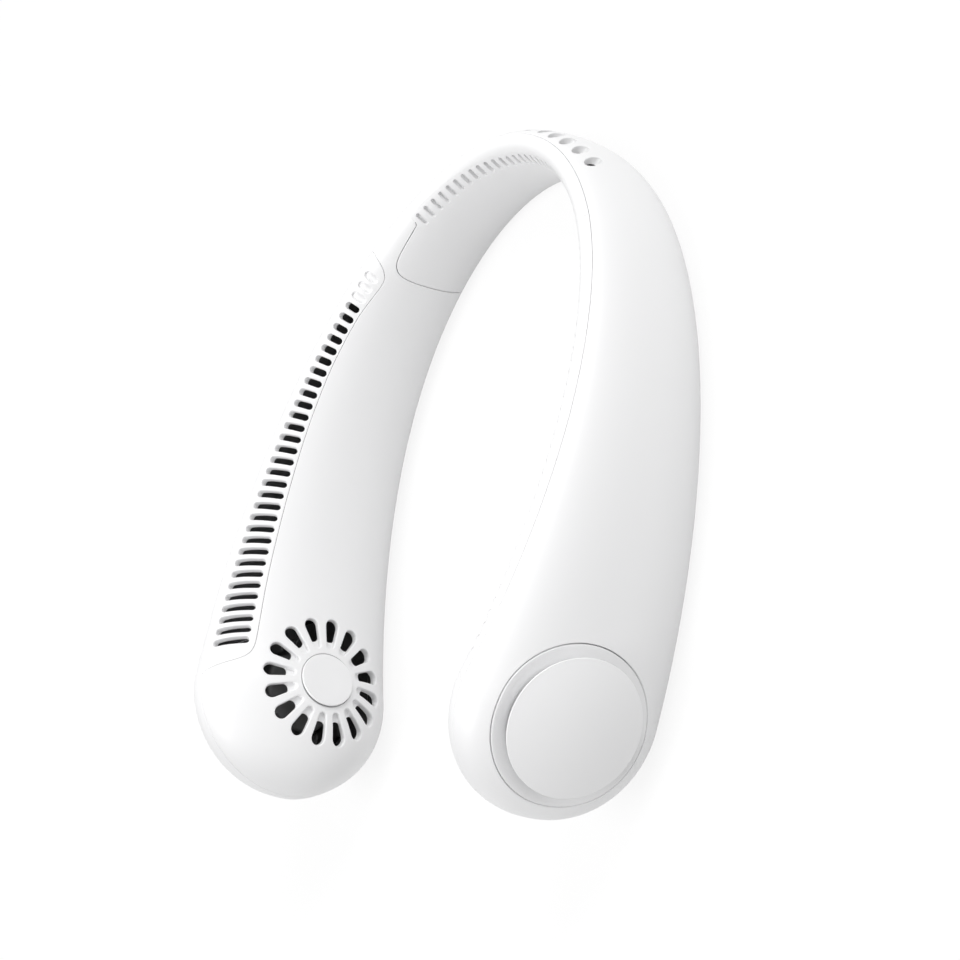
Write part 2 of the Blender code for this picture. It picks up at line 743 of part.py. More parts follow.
def inner_shell():
    """Inner half of the housing, which carries the grilles, the pad and both inlets."""
    high = lambda station: BOTTOM_ANGLE + 2 * math.pi
    mesh_data = patch(housing_stations(), seam_angle, high, INNER_SEGMENTS, 0.0, WALL, -GAP / 2)
    shell = finish("inner_shell", mesh_data, "white_shell")
    combine(shell, cutter("cut_pad_notch", pad_notch()))
    combine(shell, cutter("cut_grooves_shell", grooves()))
    for name, side in SIDES:
        combine(shell, cutter("cut_grille_notch_" + name, grille_notch(side)))
        combine(shell, cutter("cut_petals_" + name, petals(side)))
        seat = [(0.0, -BADGE_SEAT_DEPTH), (BADGE_RADIUS + GAP, -BADGE_SEAT_DEPTH),
                (BADGE_RADIUS + GAP, CUT_PAST), (0.0, CUT_PAST)]
        combine(shell, cutter("cut_badge_seat_" + name, turned(seat, badge_matrix(side), COVER_SEGMENTS)))
    return shell


def slot_cutter(side):
    """Cutter for the open slots of a grille and the blind ones at its nape end."""
    mesh_data = bmesh.new()
    for index in range(-BLIND_SLOT_COUNT, SLOT_COUNT):
        share = max(index, 0) / (SLOT_COUNT - 1)
        station = FIRST_SLOT + SLOT_PITCH * index
        length = SLOT_LENGTH_FIRST + (SLOT_LENGTH_LAST - SLOT_LENGTH_FIRST) * share
        slant = SLOT_SLANT_FIRST + (SLOT_SLANT_LAST - SLOT_SLANT_FIRST) * share
        point, ahead, round_way, normal = surface_frame(station, along_arm(SLOT_ANGLES, station), side)
        long_way = round_way * math.cos(slant) + ahead * math.sin(slant)
        wide_way = normal.cross(long_way)
        depth = BLIND_DEPTH if index < 0 else GRILLE_THICKNESS + CUT_PAST
        prism(mesh_data, stadium(length, SLOT_WIDTH), point, (long_way, wide_way, normal), -depth, CUT_PAST)
    return mesh_data


def outlet_grilles():
    """Slotted strip along the crest of each arm."""
    for name, side in SIDES:
        low = lambda station: seam_angle(station)
        stations = [side * station for station in grille_stations()]
        mesh_data = patch(stations, low, grille_edge, GRILLE_SEGMENTS, 0.0, GRILLE_THICKNESS, -GAP / 2)
        grille = finish("outlet_grille_" + name, mesh_data, "white_shell")
        combine(grille, cutter("cut_slots_" + name, slot_cutter(side)))


# Round ends


def caps_and_bezels():
    """Round cover on the outer face of each end, in its dished ring."""
    for name, side in SIDES:
        matrix = fan_matrix(side)
        rim, face = CAP_RIM_HEIGHT, CAP_RIM_HEIGHT + CAP_DOME
        edge = CAP_RADIUS - CAP_EDGE
        bulge = []
        for share in (1 / 3, 2 / 3):
            bulge.append((CAP_FLAT_RADIUS + (edge - CAP_FLAT_RADIUS) * share, face - CAP_DOME * share**2))
        profile = [(0.0, face), (CAP_FLAT_RADIUS, face), *bulge, (edge, rim),
                   (CAP_RADIUS - CAP_EDGE * 0.3, rim - CAP_EDGE * 0.3), (CAP_RADIUS, rim - CAP_EDGE),
                   (CAP_RADIUS, CAP_FOOT), (CAP_RADIUS - CAP_WALL, CAP_FOOT),
                   (CAP_RADIUS - CAP_WALL, rim - CAP_WALL), (0.0, rim - CAP_WALL)]
        finish("fan_cap_" + name, turned(profile, matrix, COVER_SEGMENTS), "white_cap")
        dish = CAP_RADIUS + GAP
        slope = BEZEL_RADIUS - BEZEL_LIP - dish
        profile = [(BEZEL_RADIUS, BEZEL_TOP), (BEZEL_RADIUS - BEZEL_LIP, BEZEL_TOP),
                   (dish + slope * 0.5, BEZEL_TOP - BEZEL_FLOOR_DROP * 0.72), (dish, BEZEL_FLOOR_TOP),
                   (BEZEL_BORE, BEZEL_FLOOR_TOP), (BEZEL_BORE, BEZEL_BASE), (BEZEL_RADIUS, BEZEL_BASE)]
        bezel = finish("cap_bezel_" + name, turned(profile, matrix, COVER_SEGMENTS), "white_shell")
        combine(bezel, cutter("cut_bezel_screws_" + name, screw_holes(matrix, BEZEL_BASE, BEZEL_FLOOR_TOP)))


def screw_places():
    """Places of the blower's screws on their circle."""
    for index in range(SCREW_COUNT):
        turn = 2 * math.pi * (index + 0.25) / SCREW_COUNT
        yield index + 1, Vector((SCREW_CIRCLE * math.cos(turn), SCREW_CIRCLE * math.sin(turn), 0))


def screw_holes(matrix, low, high):
    """Cutter for the screw holes between two heights."""
    mesh_data = bmesh.new()
    radius = SCREW_RADIUS + GAP
    turns = [2 * math.pi * step / SCREW_SEGMENTS for step in range(SCREW_SEGMENTS)]
    outline = [(radius * math.cos(turn), radius * math.sin(turn)) for turn in turns]
    for _, place in screw_places():
        prism(mesh_data, outline, place, (Vector((1, 0, 0)), Vector((0, 1, 0)), Vector((0, 0, 1))),
              low - GAP, high + GAP)
    bmesh.ops.transform(mesh_data, matrix=matrix, verts=mesh_data.verts)
    return mesh_data


def screws():
    """Screws that hold each blower housing to its bezel."""
    head_top = PLATE_BASE - GAP
    for name, side in SIDES:
        for number, place in screw_places():
            head_base = head_top - SCREW_HEAD_HEIGHT
            profile = [(0.0, head_base), (SCREW_HEAD_RADIUS, head_base),
                       (SCREW_HEAD_RADIUS, head_top), (SCREW_RADIUS, head_top),
                       (SCREW_RADIUS, BEZEL_FLOOR_TOP), (0.0, BEZEL_FLOOR_TOP)]
            matrix = fan_matrix(side) @ Matrix.Translation(place)
            screw = turned(profile, matrix, SCREW_SEGMENTS)
            finish(f"blower_screw_{name}_{number}", screw, "steel")


def scroll_wall(side):
    """Wall round the wheel, open towards the arm's duct."""
    mesh_data = bmesh.new()
    steps = 16
    low, high = PLATE_BASE - SCROLL_DEPTH, PLATE_BASE + GAP
    begin = math.pi + SCROLL_GATE / 2
    sweep = 2 * math.pi - SCROLL_GATE
    rings = []
    for step in range(steps + 1):
        turn = begin + sweep * step / steps
        way = Vector((math.cos(turn), math.sin(turn), 0))
        corners = [(HOUSING_RADIUS - SCROLL_WALL, low), (HOUSING_RADIUS, low),
                   (HOUSING_RADIUS, high), (HOUSING_RADIUS - SCROLL_WALL, high)]
        ring = [way * radius + Vector((0, 0, height)) for radius, height in corners]
        rings.append([mesh_data.verts.new(corner) for corner in ring])
    for before, after in zip(rings, rings[1:]):
        for corner in range(4):
            nearby = (corner + 1) % 4
            mesh_data.faces.new((before[corner], before[nearby], after[nearby], after[corner]))
    mesh_data.faces.new(rings[0])
    mesh_data.faces.new(rings[-1])
    bmesh.ops.transform(mesh_data, matrix=fan_matrix(side), verts=mesh_data.verts)
    return mesh_data


def blower_housings():
    """Plate behind each bezel, with the bearing tube and the scroll wall."""
    for name, side in SIDES:
        matrix = fan_matrix(side)
        profile = [(0.0, PLATE_TOP), (HOUSING_RADIUS, PLATE_TOP), (HOUSING_RADIUS, PLATE_BASE),
                   (TUBE_RADIUS, PLATE_BASE), (TUBE_RADIUS, TUBE_END), (TUBE_BORE, TUBE_END),
                   (TUBE_BORE, PLATE_BASE), (0.0, PLATE_BASE)]
        housing = finish("blower_housing_" + name, turned(profile, matrix, COVER_SEGMENTS), "grey_plastic")
        combine(housing, cutter("join_scroll_" + name, scroll_wall(side)), "UNION")
        combine(housing, cutter("cut_housing_screws_" + name, screw_holes(matrix, PLATE_BASE, PLATE_TOP)))


def motors():
    """Bearing and stator of each motor, on the tube of its housing."""
    for name, side in SIDES:
        matrix = fan_matrix(side)
        bore = SHAFT_RADIUS + SHAFT_CLEARANCE
        top = PLATE_BASE - GAP
        profile = [(bore, top), (BEARING_RADIUS, top), (BEARING_RADIUS, top - BEARING_LENGTH),
                   (bore, top - BEARING_LENGTH)]
        finish("bearing_" + name, turned(profile, matrix), "bronze")
        mesh_data = bmesh.new()
        hole, outline = [], []
        for pole in range(STATOR_POLES):
            for share, radius in ((0.0, 1.0), (0.48, 1.0), (0.50, 0.72), (0.98, 0.72)):
                turn = 2 * math.pi * (pole + share) / STATOR_POLES
                outline.append((turn, STATOR_RADIUS * radius))
                hole.append((turn, TUBE_RADIUS + GAP))
        rings = []
        for loop in (outline, hole):
            for height in (STATOR_TOP, STATOR_TOP - STATOR_HEIGHT):
                rings.append([mesh_data.verts.new((radius * math.cos(turn), radius * math.sin(turn), height))
                              for turn, radius in loop])
        outer_high, outer_low, inner_high, inner_low = rings
        count = len(outline)
        for index in range(count):
            after = (index + 1) % count
            for one, two in ((outer_high, outer_low), (inner_low, inner_high),
                             (inner_high, outer_high), (outer_low, inner_low)):
                mesh_data.faces.new((one[index], one[after], two[after], two[index]))
        bmesh.ops.transform(mesh_data, matrix=matrix, verts=mesh_data.verts)
        finish("motor_stator_" + name, mesh_data, "copper")


def blades(side):
    """Curved blades of a wheel, sunk a little into its back plate."""
    mesh_data = bmesh.new()
    outer_radius = WHEEL_RADIUS - BLADE_SETBACK
    for blade in range(BLADE_COUNT):
        start = 2 * math.pi * blade / BLADE_COUNT
        outline = []
        for share in (0.0, 0.5, 1.0):
            radius = BLADE_INNER_RADIUS + (outer_radius - BLADE_INNER_RADIUS) * share
            turn = start + BLADE_SWEEP * share**1.6
            outline.append((radius, turn))
        front = [(radius * math.cos(turn), radius * math.sin(turn)) for radius, turn in outline]
        back = []
        for radius, turn in reversed(outline):
            wide = turn + BLADE_THICKNESS / radius
            back.append((radius * math.cos(wide), radius * math.sin(wide)))
        prism(mesh_data, front + back, Vector((0, 0, 0)),
              (Vector((1, 0, 0)), Vector((0, 1, 0)), Vector((0, 0, 1))),
              WHEEL_FRONT, WHEEL_BACK - WHEEL_PLATE / 2)
    bmesh.ops.transform(mesh_data, matrix=fan_matrix(side), verts=mesh_data.verts)
    return mesh_data


def wheels():
    """Blower wheel, magnet ring and shaft of each side, with origins on the axis."""
    for name, side in SIDES:
        matrix = fan_matrix(side)
        centre = matrix.translation.copy()
        under = HUB_TOP - HUB_WALL
        profile = [(SHAFT_BORE, HUB_TOP), (HUB_INNER_RADIUS, HUB_TOP), (HUB_INNER_RADIUS, WHEEL_BACK),
                   (WHEEL_RADIUS, WHEEL_BACK), (WHEEL_RADIUS, WHEEL_BACK - WHEEL_PLATE),
                   (HUB_RADIUS, WHEEL_BACK - WHEEL_PLATE), (HUB_RADIUS, under + HUB_WALL),
                   (HUB_RADIUS - HUB_WALL, under), (SHAFT_BORE, under)]
        wheel = finish("impeller_" + name, turned(profile, matrix), "dark_wheel", centre)
        combine(wheel, cutter("join_blades_" + name, blades(side)), "UNION")
        inner = MAGNET_RADIUS - MAGNET_WALL
        top = STATOR_TOP - 2 * GAP
        base = HUB_TOP + GAP
        profile = [(inner, top), (MAGNET_RADIUS, top), (MAGNET_RADIUS, base), (inner, base)]
        finish("rotor_magnet_" + name, turned(profile, matrix), "magnet", centre)
        top = PLATE_BASE - 2 * GAP
        profile = [(0.0, top), (SHAFT_RADIUS, top), (SHAFT_RADIUS, under), (0.0, under)]
        finish("motor_shaft_" + name, turned(profile, matrix), "steel", centre)


def hub_badges():
    """Plain round plate on the hub of each inlet."""
    for name, side in SIDES:
        low = -BADGE_SEAT_DEPTH + GAP
        high = low + BADGE_THICKNESS
        bevel = BADGE_THICKNESS * 0.3
        profile = [(0.0, high), (BADGE_RADIUS - bevel, high), (BADGE_RADIUS, high - bevel),
                   (BADGE_RADIUS, low), (0.0, low)]
        finish("hub_badge_" + name, turned(profile, badge_matrix(side), COVER_SEGMENTS), "white_cap")


# Inside the arms


def floor_level(station):
    """Top of the duct floor at a station."""
    return middle_height(station) + FLOOR_SHARE * half_height(station)


def duct_floors():
    """Curved shelf between the air duct and the bay below it."""
    for name, side in SIDES:
        mesh_data = bmesh.new()
        rings = []
        for step in range(13):
            station = FLOOR_START + (FLOOR_END - FLOOR_START) * step / 12
            x, y, turn = plan_point(station)
            out_way = Vector((side * math.sin(turn), math.cos(turn), 0))
            centre = Vector((side * x, y - PLAN_CENTRE, 0))
            top = floor_level(station)
            ring = []
            reach = WALL + 2 * GAP
            wide = (wall_offset(station, top, True, reach), -wall_offset(station, top, False, reach))
            for level, offsets in ((top, wide), (top - FLOOR_THICKNESS, wide[::-1])):
                for offset in offsets:
                    ring.append(mesh_data.verts.new(centre + out_way * offset + Vector((0, 0, level))))
            rings.append(ring)
        for before, after in zip(rings, rings[1:]):
            for corner in range(4):
                nearby = (corner + 1) % 4
                mesh_data.faces.new((before[corner], before[nearby], after[nearby], after[corner]))
        mesh_data.faces.new(rings[0])
        mesh_data.faces.new(rings[-1])
        finish("duct_floor_" + name, mesh_data, "grey_plastic")


def battery_top():
    """Top of the cell, a gap below the lowest point of the floor over it."""
    return floor_level(BATTERY_STATION - BATTERY_LENGTH / 2) - FLOOR_THICKNESS - GAP


def battery_cells():
    """Flat cell below each duct floor."""
    for name, side in SIDES:
        centre = Vector((0, BATTERY_OFFSET, battery_top() - BATTERY_WIDTH / 2))
        size = Vector((BATTERY_LENGTH, BATTERY_THICKNESS, BATTERY_WIDTH))
        mesh_data = block(size, centre, arm_matrix(BATTERY_STATION, side), 0.0012)
        finish("battery_cell_" + name, mesh_data, "cell_wrap")


CONTROL_SIDE = -1


def outer_wall(level, inset=0.0):
    """Distance of the outer wall from the plan curve, at a level beside the board."""
    return wall_offset(BOARD_STATION, level, True, inset)


# Distances from the plan curve of the stack behind the button
FLANGE_TOP = outer_wall(BUTTON_LEVEL, WALL) - 4 * GAP
FLANGE_BASE = FLANGE_TOP - BUTTON_FLANGE + GAP
SWITCH_TOP = FLANGE_BASE - BUTTON_TRAVEL - GAP
BOARD_FACE = SWITCH_TOP - SWITCH_HEIGHT - GAP
BOARD_MIDDLE = BOARD_FACE - BOARD_THICKNESS / 2


def disc_prism(radius, low, high, centre, matrix, steps=20):
    """Short cylinder whose axis is the local Y axis of a matrix."""
    turn = Matrix.Rotation(-math.pi / 2, 4, "X")
    profile = [(0.0, low), (radius, low), (radius, high), (0.0, high)]
    return turned(profile, matrix @ Matrix.Translation(centre) @ turn, steps)


def control_openings():
    """Cutters for the button, the indicator and the charging socket."""
    matrix = arm_matrix(BOARD_STATION, CONTROL_SIDE)
    reach = outer_wall(BUTTON_LEVEL) + CUT_PAST
    button = disc_prism(BUTTON_RADIUS + GAP, BOARD_FACE, reach, Vector((0, 0, BUTTON_LEVEL)), matrix)
    light_level = Vector((0, 0, BUTTON_LEVEL + LED_RISE))
    light = disc_prism(LED_RADIUS + GAP, BOARD_FACE, reach, light_level, matrix, 10)
    size = Vector((SOCKET_WIDTH + 2 * GAP, SOCKET_THICKNESS + 2 * GAP, SOCKET_LENGTH * 2))
    mouth = block(size, Vector((0, BOARD_MIDDLE, SOCKET_MOUTH)), matrix)
    return cutter("cut_button", button), cutter("cut_light", light), cutter("cut_socket", mouth)


def controls():
    """Board with its switch, button, indicator and charging socket, in the left arm."""
    matrix = arm_matrix(BOARD_STATION, CONTROL_SIDE)
    socket_top = SOCKET_MOUTH + SOCKET_LENGTH
    centre = Vector((0, BOARD_MIDDLE, socket_top + GAP + BOARD_HEIGHT / 2))
    mesh_data = block(Vector((BOARD_LENGTH, BOARD_THICKNESS, BOARD_HEIGHT)), centre, matrix)
    finish("control_board", mesh_data, "board_green")
    centre = Vector((0, SWITCH_TOP - SWITCH_HEIGHT / 2, BUTTON_LEVEL))
    mesh_data = block(Vector((SWITCH_SIZE, SWITCH_HEIGHT, SWITCH_SIZE)), centre, matrix)
    finish("power_switch", mesh_data, "grey_plastic")
    flange = BUTTON_RADIUS + 2 * GAP
    face = outer_wall(BUTTON_LEVEL)
    top = face + BUTTON_PROUD
    profile = [(0.0, FLANGE_BASE), (flange, FLANGE_BASE), (flange, FLANGE_TOP), (BUTTON_RADIUS, FLANGE_TOP),
               (BUTTON_RADIUS, top - BUTTON_EDGE), (BUTTON_RADIUS - BUTTON_EDGE, top), (0.0, top)]
    turn = Matrix.Rotation(-math.pi / 2, 4, "X")
    place = matrix @ Matrix.Translation(Vector((0, 0, BUTTON_LEVEL)))
    finish("power_button", turned(profile, place @ turn, 20), "white_cap", place @ Vector((0, face, 0)))
    light = Vector((0, 0, BUTTON_LEVEL + LED_RISE))
    lens = disc_prism(LED_RADIUS, BOARD_FACE + GAP, outer_wall(light.z), light, matrix, 10)
    finish("indicator_lens", lens, "lens")
    socket_frame(matrix, BOARD_MIDDLE, socket_top)


def socket_frame(matrix, middle, socket_top):
    """Metal shroud of the charging socket, open at its mouth, with its tongue."""
    outer = stadium(SOCKET_WIDTH, SOCKET_THICKNESS, 4)
    inner = stadium(SOCKET_WIDTH - 2 * SOCKET_WALL, SOCKET_THICKNESS - 2 * SOCKET_WALL, 4)
    tongue = stadium(SOCKET_WIDTH - 6 * SOCKET_WALL, SOCKET_WALL * 2, 4)
    floor = socket_top - SOCKET_WALL * 3
    loops = ((outer, socket_top), (outer, SOCKET_MOUTH), (inner, SOCKET_MOUTH), (inner, floor),
             (tongue, floor), (tongue, SOCKET_MOUTH + SOCKET_WALL * 2))
    mesh_data = bmesh.new()
    rings = [[mesh_data.verts.new((u, middle + v, height)) for u, v in outline] for outline, height in loops]
    for before, after in zip(rings, rings[1:]):
        for index in range(len(before)):
            nearby = (index + 1) % len(before)
            mesh_data.faces.new((before[index], before[nearby], after[nearby], after[index]))
    mesh_data.faces.new(rings[0])
    mesh_data.faces.new(rings[-1])
    bmesh.ops.transform(mesh_data, matrix=matrix, verts=mesh_data.verts)
    finish("charging_socket", mesh_data, "steel")


def lead(name, start, start_way, end, end_way, radius, steps):
    """Cable that leaves its start along one direction and arrives along another."""
    pull = (end - start).length
    points = []
    for step in range(steps + 1):
        share = step / steps
        rise = share**2 * (3 - 2 * share)
        points.append(start + (end - start) * rise
                      + start_way * pull * share * (1 - share) ** 2
                      - end_way * pull * share**2 * (1 - share))
    tube(name, points, radius, "cable_black")


def battery_end(side, end):
    """Point in front of one end of a cell, and the direction out of that end."""
    matrix = arm_matrix(BATTERY_STATION, side)
    level = battery_top() - BATTERY_WIDTH / 2
    point = matrix @ Vector((end * (BATTERY_LENGTH / 2 + GAP), BATTERY_OFFSET, level))
    return point, (matrix.to_3x3() @ Vector((end, 0, 0))).normalized()


def nape_cable():
    """Cable through the nape between the two cells."""
    reach = BATTERY_STATION - BATTERY_LENGTH / 2 - CABLE_LEAD_IN
    points = [battery_end(-1, -1)[0]]
    for step in range(CABLE_STEPS):
        place = -reach + 2 * reach * step / (CABLE_STEPS - 1)
        side = -1 if place < 0 else 1
        share = (abs(place) / reach) ** 2
        x, y, turn = plan_point(abs(place))
        offset = BATTERY_OFFSET * share
        level = NAPE_HALF_HEIGHT + (battery_top() - BATTERY_WIDTH / 2 - NAPE_HALF_HEIGHT) * share
        points.append(Vector((side * (x + offset * math.sin(turn)),
                              y + offset * math.cos(turn) - PLAN_CENTRE, level)))
    points.append(battery_end(1, -1)[0])
    tube("nape_cable", points, CABLE_RADIUS, "cable_black")


def motor_end(side):
    """Point in front of the rim of a blower's plate, and the direction into it."""
    turn = math.pi + LEAD_ANGLE
    way = Vector((math.cos(turn), math.sin(turn), 0))
    middle = Vector((0, 0, (PLATE_TOP + PLATE_BASE) / 2))
    matrix = fan_matrix(side)
    return matrix @ (way * (HOUSING_RADIUS + GAP) + middle), (matrix.to_3x3() @ -way).normalized()


def board_end(end):
    """Point in front of one end of the board, and the direction along the arm."""
    matrix = arm_matrix(BOARD_STATION, CONTROL_SIDE)
    level = battery_top() - BATTERY_WIDTH / 2
    point = matrix @ Vector((end * (BOARD_LENGTH / 2 + GAP), BOARD_MIDDLE, level))
    return point, (matrix.to_3x3() @ Vector((1, 0, 0))).normalized()


def cables():
    """Cables between the two cells, the board and the two motors."""
    nape_cable()
    lead("motor_lead_right", *battery_end(1, 1), *motor_end(1), LEAD_RADIUS, 8)
    lead("motor_lead_left", *board_end(1), *motor_end(-1), LEAD_RADIUS, 6)
    lead("battery_lead", *battery_end(CONTROL_SIDE, 1), *board_end(-1), LEAD_RADIUS, 5)


def build():
    """Make every part of the fan."""
    clear_scene()
    outer_shell()
    inner_shell()
    neck_pad()
    outlet_grilles()
    caps_and_bezels()
    screws()
    blower_housings()
    motors()
    wheels()
    hub_badges()
    duct_floors()
    battery_cells()
    controls()
    cables()


build()
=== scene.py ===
"""Looks of a wearable neck fan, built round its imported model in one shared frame.

Units are metres. +Z is up, the nape is at +Y and the gap for the neck opens to -Y.
"""
import itertools
import math

import bpy
import numpy as np
from mathutils import Matrix, Vector
from mathutils.geometry import delaunay_2d_cdt


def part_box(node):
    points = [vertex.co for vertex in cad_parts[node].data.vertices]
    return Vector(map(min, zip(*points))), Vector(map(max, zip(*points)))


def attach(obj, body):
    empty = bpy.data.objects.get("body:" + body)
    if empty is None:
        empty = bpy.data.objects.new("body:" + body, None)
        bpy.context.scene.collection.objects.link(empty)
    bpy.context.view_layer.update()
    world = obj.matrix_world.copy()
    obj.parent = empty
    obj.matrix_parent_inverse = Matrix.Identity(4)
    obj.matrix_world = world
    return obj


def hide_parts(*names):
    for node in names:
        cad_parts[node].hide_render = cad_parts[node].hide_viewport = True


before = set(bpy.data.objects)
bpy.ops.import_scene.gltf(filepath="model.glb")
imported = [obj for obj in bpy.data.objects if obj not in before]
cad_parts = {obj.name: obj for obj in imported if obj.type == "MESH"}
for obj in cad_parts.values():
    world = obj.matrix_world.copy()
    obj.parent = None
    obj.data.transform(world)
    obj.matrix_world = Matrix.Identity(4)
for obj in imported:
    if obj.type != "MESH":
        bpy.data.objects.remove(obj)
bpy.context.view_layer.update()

# Camera
# A long lens looks down on the fan from the wearer's left front, with the nape at
# the top of the picture.
camera_place = Vector((0.7783, -0.1368, 0.5307))
camera_target = Vector((-0.0128, -0.0012, 0.0098))
camera_up = Vector((0.0346, 0.9787, 0.2022))


def linked(name, data):
    """New object that holds the data, linked to the scene."""
    thing = bpy.data.objects.new(name, data)
    bpy.context.collection.objects.link(thing)
    return thing


lens_data = bpy.data.cameras.new("camera")
lens_data.sensor_width = 36
lens_data.lens = 129.17
lens_data.clip_start, lens_data.clip_end = 0.01, 20
camera = linked("camera", lens_data)
back_way = (camera_place - camera_target).normalized()
right_way = camera_up.cross(back_way).normalized()
camera_turn = Matrix((right_way, back_way.cross(right_way), back_way)).transposed().to_4x4()
camera.matrix_world = Matrix.Translation(camera_place) @ camera_turn
bpy.context.scene.camera = camera
bpy.context.scene.view_settings.view_transform = "Standard"

# Floor and light
# A pale sweep under the fan that the camera and polished parts see as nearly white
# paper, and that still takes the fan's soft shadow. One broad soft lamp stands over the
# nape and a weaker one in front.
floor_half, floor_shade, sky_strength = 6, 0.66, 0.46


def principled(name, colour, roughness, metallic=0.0):
    """Material whose plain values sit on the Principled shader's own sockets."""
    made = bpy.data.materials.new(name)
    made.use_nodes = True
    shader = made.node_tree.nodes["Principled BSDF"]
    shader.inputs["Base Color"].default_value = (*colour, 1)
    shader.inputs["Roughness"].default_value = roughness
    shader.inputs["Metallic"].default_value = metallic
    return made, shader


def added(tree, kind, inputs, **settings):
    """New shader node with its settings. Each input gets a value or a link from a socket."""
    node = tree.nodes.new("ShaderNode" + kind)
    for name, value in settings.items():
        setattr(node, name, value)
    for name, value in inputs.items():
        if isinstance(value, bpy.types.NodeSocket):
            tree.links.new(value, node.inputs[name])
        else:
            node.inputs[name].default_value = value
    return node


def seen_white(tree, plain, end, share, strength):
    """Mixes white light into what the camera, gloss and clear parts see of a shader."""
    rays = added(tree, "LightPath", {}).outputs
    seen = added(tree, "Math", {0: rays["Is Camera Ray"], 1: rays["Is Glossy Ray"]}, operation="MAXIMUM")
    through = added(tree, "Math", {0: seen.outputs["Value"], 1: rays["Is Transmission Ray"]},
                    operation="MAXIMUM")
    part = added(tree, "Math", {0: through.outputs["Value"], 1: share}, operation="MULTIPLY")
    kind = "Emission" if end == "Material Output" else "Background"
    white = added(tree, kind, {"Strength": strength})
    parts = {"Fac": part.outputs["Value"], 1: tree.nodes[plain].outputs[0], 2: white.outputs[0]}
    mix = added(tree, "MixShader", parts)
    tree.links.new(mix.outputs["Shader"], tree.nodes[end].inputs["Surface"])


floor_mesh = bpy.data.meshes.new("floor")
corners = [(-floor_half, -floor_half, 0), (floor_half, -floor_half, 0), (floor_half, floor_half, 0),
           (-floor_half, floor_half, 0)]
floor_mesh.from_pydata(corners, [], [(0, 1, 2, 3)])
floor = linked("floor", floor_mesh)
floor_paint = principled("floor_paint", [floor_shade] * 3, 0.9)[0]
seen_white(floor_paint.node_tree, "Principled BSDF", "Material Output", 0.80, 1.09)
floor_mesh.materials.append(floor_paint)


def area_lamp(name, place, size, power):
    """Square soft lamp that shines from a place towards the middle of the fan."""
    data = bpy.data.lights.new(name, "AREA")
    data.size = size
    data.energy = power
    lamp = linked(name, data)
    turn = (Vector(place) - Vector((0, 0, 0.03))).to_track_quat("Z", "Y").to_matrix().to_4x4()
    lamp.matrix_world = Matrix.Translation(place) @ turn


area_lamp("side_lamp", (0.61, 1.06, 1.03), 0.9, 12.5)
area_lamp("top_lamp", (0.09, -0.54, 1.50), 0.9, 12)

world = bpy.data.worlds.new("studio")
world.use_nodes = True
sky = world.node_tree.nodes["Background"].inputs
sky["Color"].default_value = (1, 1, 1, 1)
sky["Strength"].default_value = sky_strength
seen_white(world.node_tree, "Background", "World Output", 1, 1)
bpy.context.scene.world = world

# Outer shell
# The outer half of the housing is one injection moulding in satin white plastic, a
# rounded section carried along a horseshoe curve from one round end to the other. It
# meets the inner half at a fine parting line.
arm_length = 0.1933
end_headings = np.radians([56.3, 86.2, 105.7])
nape_half_height = 0.0140
bulb_radius = 0.0290
nape_depth = 0.0058
bulb_outer_depth = 0.0148
bulb_inner_depth = 0.0185
wall = 0.0018
parting_gap = 0.00005
parting_bevel = 0.00011
grid_pitch = 0.0013
guard_width = 0.0003
line_shares = (0.310, 0.621, 0.957)
seam_angles = (1.15, 1.31, math.pi / 2)
height_slope, depth_slope = 0.105, 0.112
arch_lift, tip_draw, back_draw = 0.0009, 0.00040, 0.00010
outer_lean, inner_lean = 0.17, 0.23
nape_girth, girth_gain = 0.0165, 0.0205
nape_power, power_gains, tip_power = 2.15, (0.55, -0.10), 2.5
guard_cell, net_cell, clear_share, moulding_crease = 0.0001, 0.0002, 0.45, 42
curve_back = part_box("outer_shell")[1].y - nape_depth - back_draw
steps_along = np.linspace(0, arm_length, 4001)
share_powers = np.array([[1 / 3, 1 / 9, 1 / 27], [2 / 3, 4 / 9, 8 / 27], [1, 1, 1]])
heading_terms = np.linalg.solve(share_powers, end_headings)


def heading(station):
    """Heading of the plan curve: a cubic of the share of the arm's length."""
    share = np.clip(station / arm_length, 0, 1)
    return heading_terms[0] * share + heading_terms[1] * share**2 + heading_terms[2] * share**3


def summed(rate):
    """Running integral over the steps along the arm, by the trapezium rule."""
    return np.concatenate([[0], np.cumsum((rate[1:] + rate[:-1]) / 2 * steps_along[1])])


plan_x = summed(np.cos(heading(steps_along)))
plan_y = -summed(np.sin(heading(steps_along)))


def eased(station, span, start, end, slope):
    """Cubic from start, level there, to end, where it rises with slope."""
    share = np.clip(station / span, 0, 1)
    return start + (end - start) * (3 * share**2 - 2 * share**3) + slope * span * (share**3 - share**2)


def half_height(station):
    """Half the height of the section: an eased taper, then the circle of the round end."""
    lean = math.atan(height_slope)
    meet = arm_length - bulb_radius * math.sin(lean)
    taper = eased(station, meet, nape_half_height, bulb_radius * math.cos(lean), height_slope)
    tip = np.sqrt(np.maximum(bulb_radius**2 - (station - arm_length) ** 2, 0))
    return np.where(station < meet, taper, tip)


def quarter_girth(station):
    """Length given to a quarter of the section in the flat pattern."""
    share = np.clip(station / arm_length, 0, 1)
    return nape_girth + girth_gain * (3 * share**2 - 2 * share**3)


def section_power(share, outer):
    """Exponent of the superellipse of the section's outer or inner half."""
    return nape_power + np.where(outer, *power_gains) * share**2


